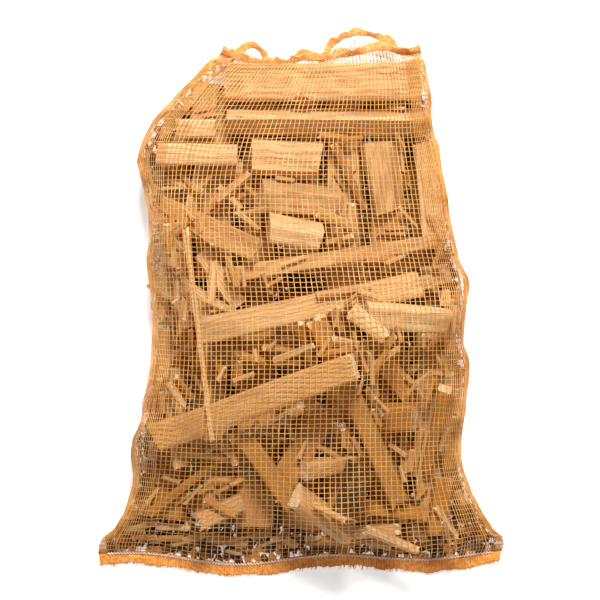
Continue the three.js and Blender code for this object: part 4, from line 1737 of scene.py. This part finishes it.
@dataclass
class NetTuck:
    """A pinch of net that has caught on the uppermost log: a few threads drawn into a small fan.

    Attributes:
        heap: The wood that it lies on.
        middle: The sack's middle.
        base: The fan's wide side, from left to right, in millimetres from the middle.
        tip: Where the threads meet.
    """

    heap: Heap
    middle: Vector
    base: tuple[tuple[float, float], tuple[float, float]] = ((-7.0, 197.0), (11.0, 196.0))
    tip: tuple[float, float] = (-3.0, 209.0)
    threads: int = 15
    lift: float = 2.3 * MM
    sag: float = 3.0 * MM
    width: float = 1.3 * MM

    def build(self, material: bpy.types.Material) -> bpy.types.Object:
        """Draws the fan.

        Args:
            material: The tape's finish.

        Returns:
            The fan.
        """
        surface = self.heap.surface()
        shift = np.array(self.middle[:2])
        ends = np.array(self.base) * MM + shift
        tip = np.array(self.tip) * MM + shift
        steps = np.linspace(0.0, 1.0, 7)
        lines = np.empty((self.threads, len(steps), 3))
        for number, share in enumerate(np.linspace(0.0, 1.0, self.threads)):
            start = ends[0] + share * (ends[1] - ends[0])
            goal = tip + (start - tip) * 0.18
            lines[number, :, :2] = start + steps[:, None] * (goal - start)
            for row, (x, y) in enumerate(lines[number, :, :2]):
                hit = surface.ray_cast(Vector((x, y, 1.0)), Vector((0.0, 0.0, -1.0)))[0]
                rise = self.lift + 1.2 * MM * math.sin(math.pi * steps[row]) + 0.1 * MM * (number % 2)
                lines[number, row, 2] = (hit.z if hit is not None else 0.0) + rise
        # The threads are drawn tight, so they span the gap between the two logs
        lines[..., 2] = np.maximum(lines[..., 2], lines[..., 2].max() - self.sag)
        normals = np.zeros_like(lines)
        normals[..., 2] = 1.0
        widths = np.tile(self.width * (1.0 - 0.5 * steps), (self.threads, 1))
        points, faces = tape_mesh("net_tuck", lines, normals, widths, 0.25 * MM)
        return add_object(mesh_from_arrays("net_tuck", points, faces), Slot.NET, material)


@dataclass
class MouthHem:
    """The narrow band round the sack's mouth, gathered so that it stands up in loops.

    Attributes:
        node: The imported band.
        front: Its front strand, in millimetres from the sack's middle, from left to right.
        back: Its back strand.
    """

    node: bpy.types.Object
    middle: Vector
    front: list[tuple[float, float, float]]
    back: list[tuple[float, float, float]]
    width: float = 8.5 * MM
    seed: int = 512

    def strand(self, rows: list[tuple[float, float, float]]) -> np.ndarray:
        """Turns a strand's rows into a smooth line in place."""
        points = np.array(rows) * MM + np.array([self.middle.x, self.middle.y, 0.0])
        line = resample(points, np.linspace(0.0, 1.0, 260))
        for _ in range(5):
            line[1:-1] = (line[:-2] + 2.0 * line[1:-1] + line[2:]) / 4.0
        return line

    def lips(self) -> tuple[np.ndarray, np.ndarray]:
        """The two lines where the net goes into the band."""
        return self.strand(self.front), self.strand(self.back)

    def build(self, material: bpy.types.Material) -> list[bpy.types.Object]:
        """Makes both strands of the band.

        Args:
            material: The weave's finish.

        Returns:
            The strands.
        """
        pieces = []
        names = ("mouth_band_front", "mouth_band_back")
        for number, (name, line) in enumerate(zip(names, self.lips())):
            tangent = np.gradient(line, axis=0)
            tangent[:, 2] = 0.0
            tangent /= np.linalg.norm(tangent, axis=1)[:, None]
            outward = np.stack([-tangent[:, 1], tangent[:, 0], 0.0 * tangent[:, 0]], 1)
            along = np.concatenate([[0.0], np.cumsum(np.linalg.norm(np.diff(line, axis=0), axis=1))])
            place = np.stack([along, 0.0 * along, 0.0 * along], 1)
            frill = value_noise(place / (5.5 * MM), self.seed + number)
            lean = np.radians(38.0 + 22.0 * value_noise(place / (14.0 * MM), self.seed + 3 + number))
            across = outward * np.cos(lean)[:, None] + np.array([0.0, 0.0, 1.0]) * np.sin(lean)[:, None]
            reach = self.width * (1.0 + 0.25 * frill)
            normals = np.cross(across, tangent)
            base = line - across * 0.6 * MM + normals * (0.7 * MM * frill)[:, None]
            rib = 0.5 + 0.5 * np.sin(2.0 * math.pi * along / (1.9 * MM))
            across_shape = np.sin(np.linspace(0.15, 0.85, 7) * math.pi)
            thickness = (0.8 + 0.45 * rib)[:, None] * MM * (0.5 + 0.6 * across_shape)
            mesh = band_mesh(name, base, across * reach[:, None], normals, 6, thickness)
            piece = add_object(mesh, Slot.HEM, material)
            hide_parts(self.node.name)
            pieces.append(piece)
            LOG.info("%s: %d points along", name, len(line))
        return pieces


# ---------------------------------------------------------------------------
# The studio
# ---------------------------------------------------------------------------


@dataclass
class Studio:
    """A pale floor, soft light from above and beyond the mouth, and a camera looking straight down."""

    height: float = 2.2
    frame_width: float = 0.600
    plane: float = 45.0 * MM
    offset: tuple[float, float] = (-0.001, 0.0015)

    def build(self, middle: Vector) -> None:
        """Makes the floor, the lights and the camera.

        Args:
            middle: The middle of the sack's drawing, on the floor.
        """
        self._floor()
        self._lights()
        data = bpy.data.cameras.new("camera")
        data.sensor_width = 36.0
        data.lens = 36.0 * (self.height - self.plane) / self.frame_width
        data.clip_end = 50.0
        camera = bpy.data.objects.new("camera", data)
        camera.location = (middle.x + self.offset[0], middle.y + self.offset[1], self.height)
        bpy.context.scene.collection.objects.link(camera)
        bpy.context.scene.camera = camera
        bpy.context.scene.view_settings.view_transform = "Standard"

    def _floor(self) -> None:
        """A wide plain sheet of white card."""
        deselect_all()
        bpy.ops.mesh.primitive_plane_add(size=9.0, location=(0.0, 0.0, 0.0))
        floor = bpy.context.object
        floor.name = "floor"
        material, tree = new_material("white_card")
        place = add_node(tree, "ShaderNodeTexCoord").outputs["Object"]
        inputs = {"Vector": place, "Scale": 3.0, "Detail": 2.0}
        grain = add_node(tree, "ShaderNodeTexNoise", inputs).outputs["Fac"]
        stops = [(0.3, "FAFAF8"), (0.7, "FFFFFF")]
        colour = add_node(tree, "ShaderNodeValToRGB", {0: grain}, stops).outputs[0]
        shader = dress(tree, colour, (0.9, 0.1))
        shader.inputs["Emission Color"].default_value = (1.0, 1.0, 1.0, 1.0)
        shader.inputs["Emission Strength"].default_value = 0.34
        floor.data.materials.append(material)
        floor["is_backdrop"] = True

    def _lights(self) -> None:
        """An even white surround and two large soft lamps."""
        world = bpy.data.worlds.new("surround")
        world.use_nodes = True
        world.node_tree.nodes["Background"].inputs["Color"].default_value = (1.0, 1.0, 1.0, 1.0)
        world.node_tree.nodes["Background"].inputs["Strength"].default_value = 0.27
        bpy.context.scene.world = world
        self._softbox("main_softbox", (0.12, 1.25, 1.8), (0.6, 0.45), 69.0)
        self._softbox("top_softbox", (0.3, -0.5, 3.0), (1.8, 1.8), 12.0)

    @staticmethod
    def _softbox(
        name: str, place: tuple[float, float, float], size: tuple[float, float], watts: float
    ) -> None:
        """Hangs one soft lamp that faces the sack."""
        lamp = bpy.data.lights.new(name, "AREA")
        lamp.shape = "RECTANGLE"
        lamp.size, lamp.size_y = size
        lamp.energy = watts
        holder = bpy.data.objects.new(name, lamp)
        holder.location = place
        holder.rotation_euler = (-Vector(place)).to_track_quat("-Z", "Y").to_euler()
        bpy.context.scene.collection.objects.link(holder)


# ---------------------------------------------------------------------------
# The whole sack
# ---------------------------------------------------------------------------

NOT_STICKS = ("net_sack", "bottom_hem", "seam_thread", "mouth_hem")

# The mouth's two strands: across, along and up, in millimetres from the sack's middle
FRONT_STRAND = [
    (-81, 250, 26), (-68, 245, 30), (-56, 241, 33), (-46, 238, 34), (-36, 239, 33), (-27, 238, 33),
    (-14, 239, 34), (0, 243, 33), (12, 242, 33), (24, 243, 33), (36, 245, 34), (52, 247, 35),
    (64, 250, 34), (76, 253, 33), (88, 253, 32), (98, 249, 31), (110, 249, 29), (121, 253, 26),
]
BACK_STRAND = [
    (-81, 250, 26), (-72, 247, 23), (-64, 246, 22), (-60, 250, 22), (-56, 255, 23), (-49, 257, 24),
    (-42, 254, 23), (-37, 243, 22), (-28, 237, 22), (-16, 238, 22), (-8, 240, 22), (-3, 245, 23),
    (4, 248, 23), (12, 246, 22), (20, 241, 22), (26, 246, 22), (31, 257, 22), (43, 266, 23),
    (56, 269, 24), (69, 269, 24), (80, 264, 24), (90, 261, 24), (98, 252, 24), (108, 250, 25),
    (121, 253, 26),
]

# Small splits on the heap: two ends seen from above, width and height, in millimetres
SPLITS = [
    (-146, 97, -84, 54, 4.5, 4), (-78, 105, -48, 104, 18, 11), (48, -8, 82, -36, 17, 8),
    (110, -222, 128, -246, 11, 9), (-52, -239, -30, -235, 13, 11), (62, -226, 118, -248, 12, 8),
    (133, -204, 158, -238, 8, 7), (140, -214, 150, -246, 6, 6), (-132, -80, -110, -108, 9, 7),
    (-122, -36, -112, -52, 12, 8), (-62, 86, -30, 92, 8, 6), (96, 96, 118, 72, 6, 5),
    (118, 34, 150, 30, 7, 5), (-20, 36, 4, 44, 7, 5), (-132, 28, -112, 2, 7, 6),
    (104, -74, 122, -96, 7, 6), (10, -196, 46, -214, 7, 6), (-96, -196, -64, -214, 9, 7),
]


def is_stick(name: str) -> bool:
    """Tells a stick's node from the sack's."""
    return name not in NOT_STICKS


def wood_tone_and_foot_shade(name: str, bar: Bar) -> float:
    """How tan a stick is, from 0 for pale sapwood to 1 for heartwood: more so towards the foot, partly
    darker wood and partly painted shade where the light falls off away from the mouth.
    """
    tones = {"top_log": 0.05, "cut": 0.05, "base": 0.7, "dark": 1.0, "middle": 0.6, "long": 0.7}
    tones |= {"corner": 0.8, "side": 0.65, "foot": 0.5, "bark": 0.9, "top_split": 0.35}
    tone = next((tone for start, tone in tones.items() if name.startswith(start)), 0.45)
    # The extra tan towards the foot is partly painted shade, partly darker wood.
    return tone + 0.35 * float(np.clip((-bar.near[:, 1].mean() - 0.0) / 0.15, 0.0, 1.0))


def end_cuts(name: str, random: np.random.RandomState) -> tuple[EndCut, EndCut]:
    """Picks how a stick's ends were made: logs and blocks are sawn, thin splits are mostly torn."""
    if "log" in name or "block" in name:
        return (EndCut.SAWN, EndCut.SAWN)
    share = 0.75 if name.startswith(("thin", "fan", "side")) else 0.3
    return tuple(EndCut.TORN if random.rand() < share else EndCut.SAWN for _ in range(2))


def build_sticks(
    nodes: list[str], heap: Heap, materials: list[bpy.types.Material]
) -> list[bpy.types.Object]:
    """Draws every packed stick as wood.

    Args:
        nodes: The sticks' node names.
        heap: Takes each stick's prism.
        materials: The split face, the end grain and the bark.

    Returns:
        The sticks.
    """
    long_form = BilletForm(around=60, rings=44)
    short_form = BilletForm(around=48, rings=24)
    random = np.random.RandomState(20)
    pieces = []
    for number, name in enumerate(nodes):
        bar = Bar.from_solid(bpy.data.objects[name])
        heap.add(bar)
        girth = np.linalg.norm(np.roll(bar.near, 1, 0) - bar.near, axis=1).sum()
        billet = Billet(
            name=f"wood_{name}",
            bar=bar,
            form=long_form if bar.length > 90.0 * MM else short_form,
            seed=1000 + 37 * number,
            tone=float(np.clip(wood_tone_and_foot_shade(name, bar) + random.normal(0.0, 0.22), 0.0, 1.0)),
            ends=end_cuts(name, random),
            barked=name == "bark_split",
            relief=float(np.clip(girth / 0.11, 0.3, 1.0)),
        )
        piece = add_object(billet.build(), Slot.BARK if billet.barked else Slot.WOOD, *materials)
        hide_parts(name)
        pieces.append(piece)
    LOG.info("sticks: %d", len(pieces))
    return pieces


def main() -> None:
    """Builds the sack, its wood and the studio."""
    logging.basicConfig(level=logging.INFO, format="%(name)s: %(message)s")
    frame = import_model()
    cad_low, cad_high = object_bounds()
    middle = Vector(((cad_low.x + cad_high.x) / 2.0, (cad_low.y + cad_high.y) / 2.0, 0.0))
    middle += Vector((0.988, 2.301, 0.0)) * MM
    Studio().build(middle)
    wood = [SplitSpruce().build(), EndGrain().build(), Bark().build()]
    heap = Heap(low=np.array(cad_low), high=np.array(cad_high))
    build_sticks([name for name in frame["nodes"] if is_stick(name)], heap, wood)
    small = BilletForm(around=22, rings=12, end_rings=2)
    SmallSplits(heap, small, SPLITS, middle, "small_splits").build(wood)
    chip = BilletForm(around=14, rings=7, end_rings=2)
    fill = LooseFill(heap, bpy.data.objects["net_sack"], chip)
    fill.lay()
    hem = BottomHem(bpy.data.objects["bottom_hem"], bpy.data.objects["seam_thread"])
    mouth = MouthHem(bpy.data.objects["mouth_hem"], middle, FRONT_STRAND, BACK_STRAND)
    front_lip, back_lip = mouth.lips()
    net = NetTube(heap, bpy.data.objects["net_sack"], hem.foot_line(), front_lip, back_lip)
    grid = net.shape()
    bed = net.bed(grid)
    fill.build(bed, wood)
    FinesAndGapShade(bpy.data.objects["net_sack"], bed).build(wood)
    net_front, net_back = net.build(grid, PolyTape("polypropylene_net_tape").build())
    # A darker copy of the net's tape for the pinch: painted shade in the fold.
    shaded_fold = PolyTape("polypropylene_folded_tape_painted_shade", light="C9802F", deep="9C5415")
    tuck = NetTuck(heap, middle).build(shaded_fold.build())
    weave = DenseWeave("polypropylene_hem_weave").build()
    foot = [hem.build_band(weave), hem.build_fringe(weave), hem.build_stitches(StitchThread().build())]
    # A paler copy of the hem's weave: painted light on the mouth's loops, nearest the main softbox.
    lit_mouth_weave = DenseWeave("polypropylene_mouth_weave_painted_light", light="FFC680", deep="D98C42")
    lip_front, lip_back = mouth.build(lit_mouth_weave.build())


if __name__ == "__main__":
    main()
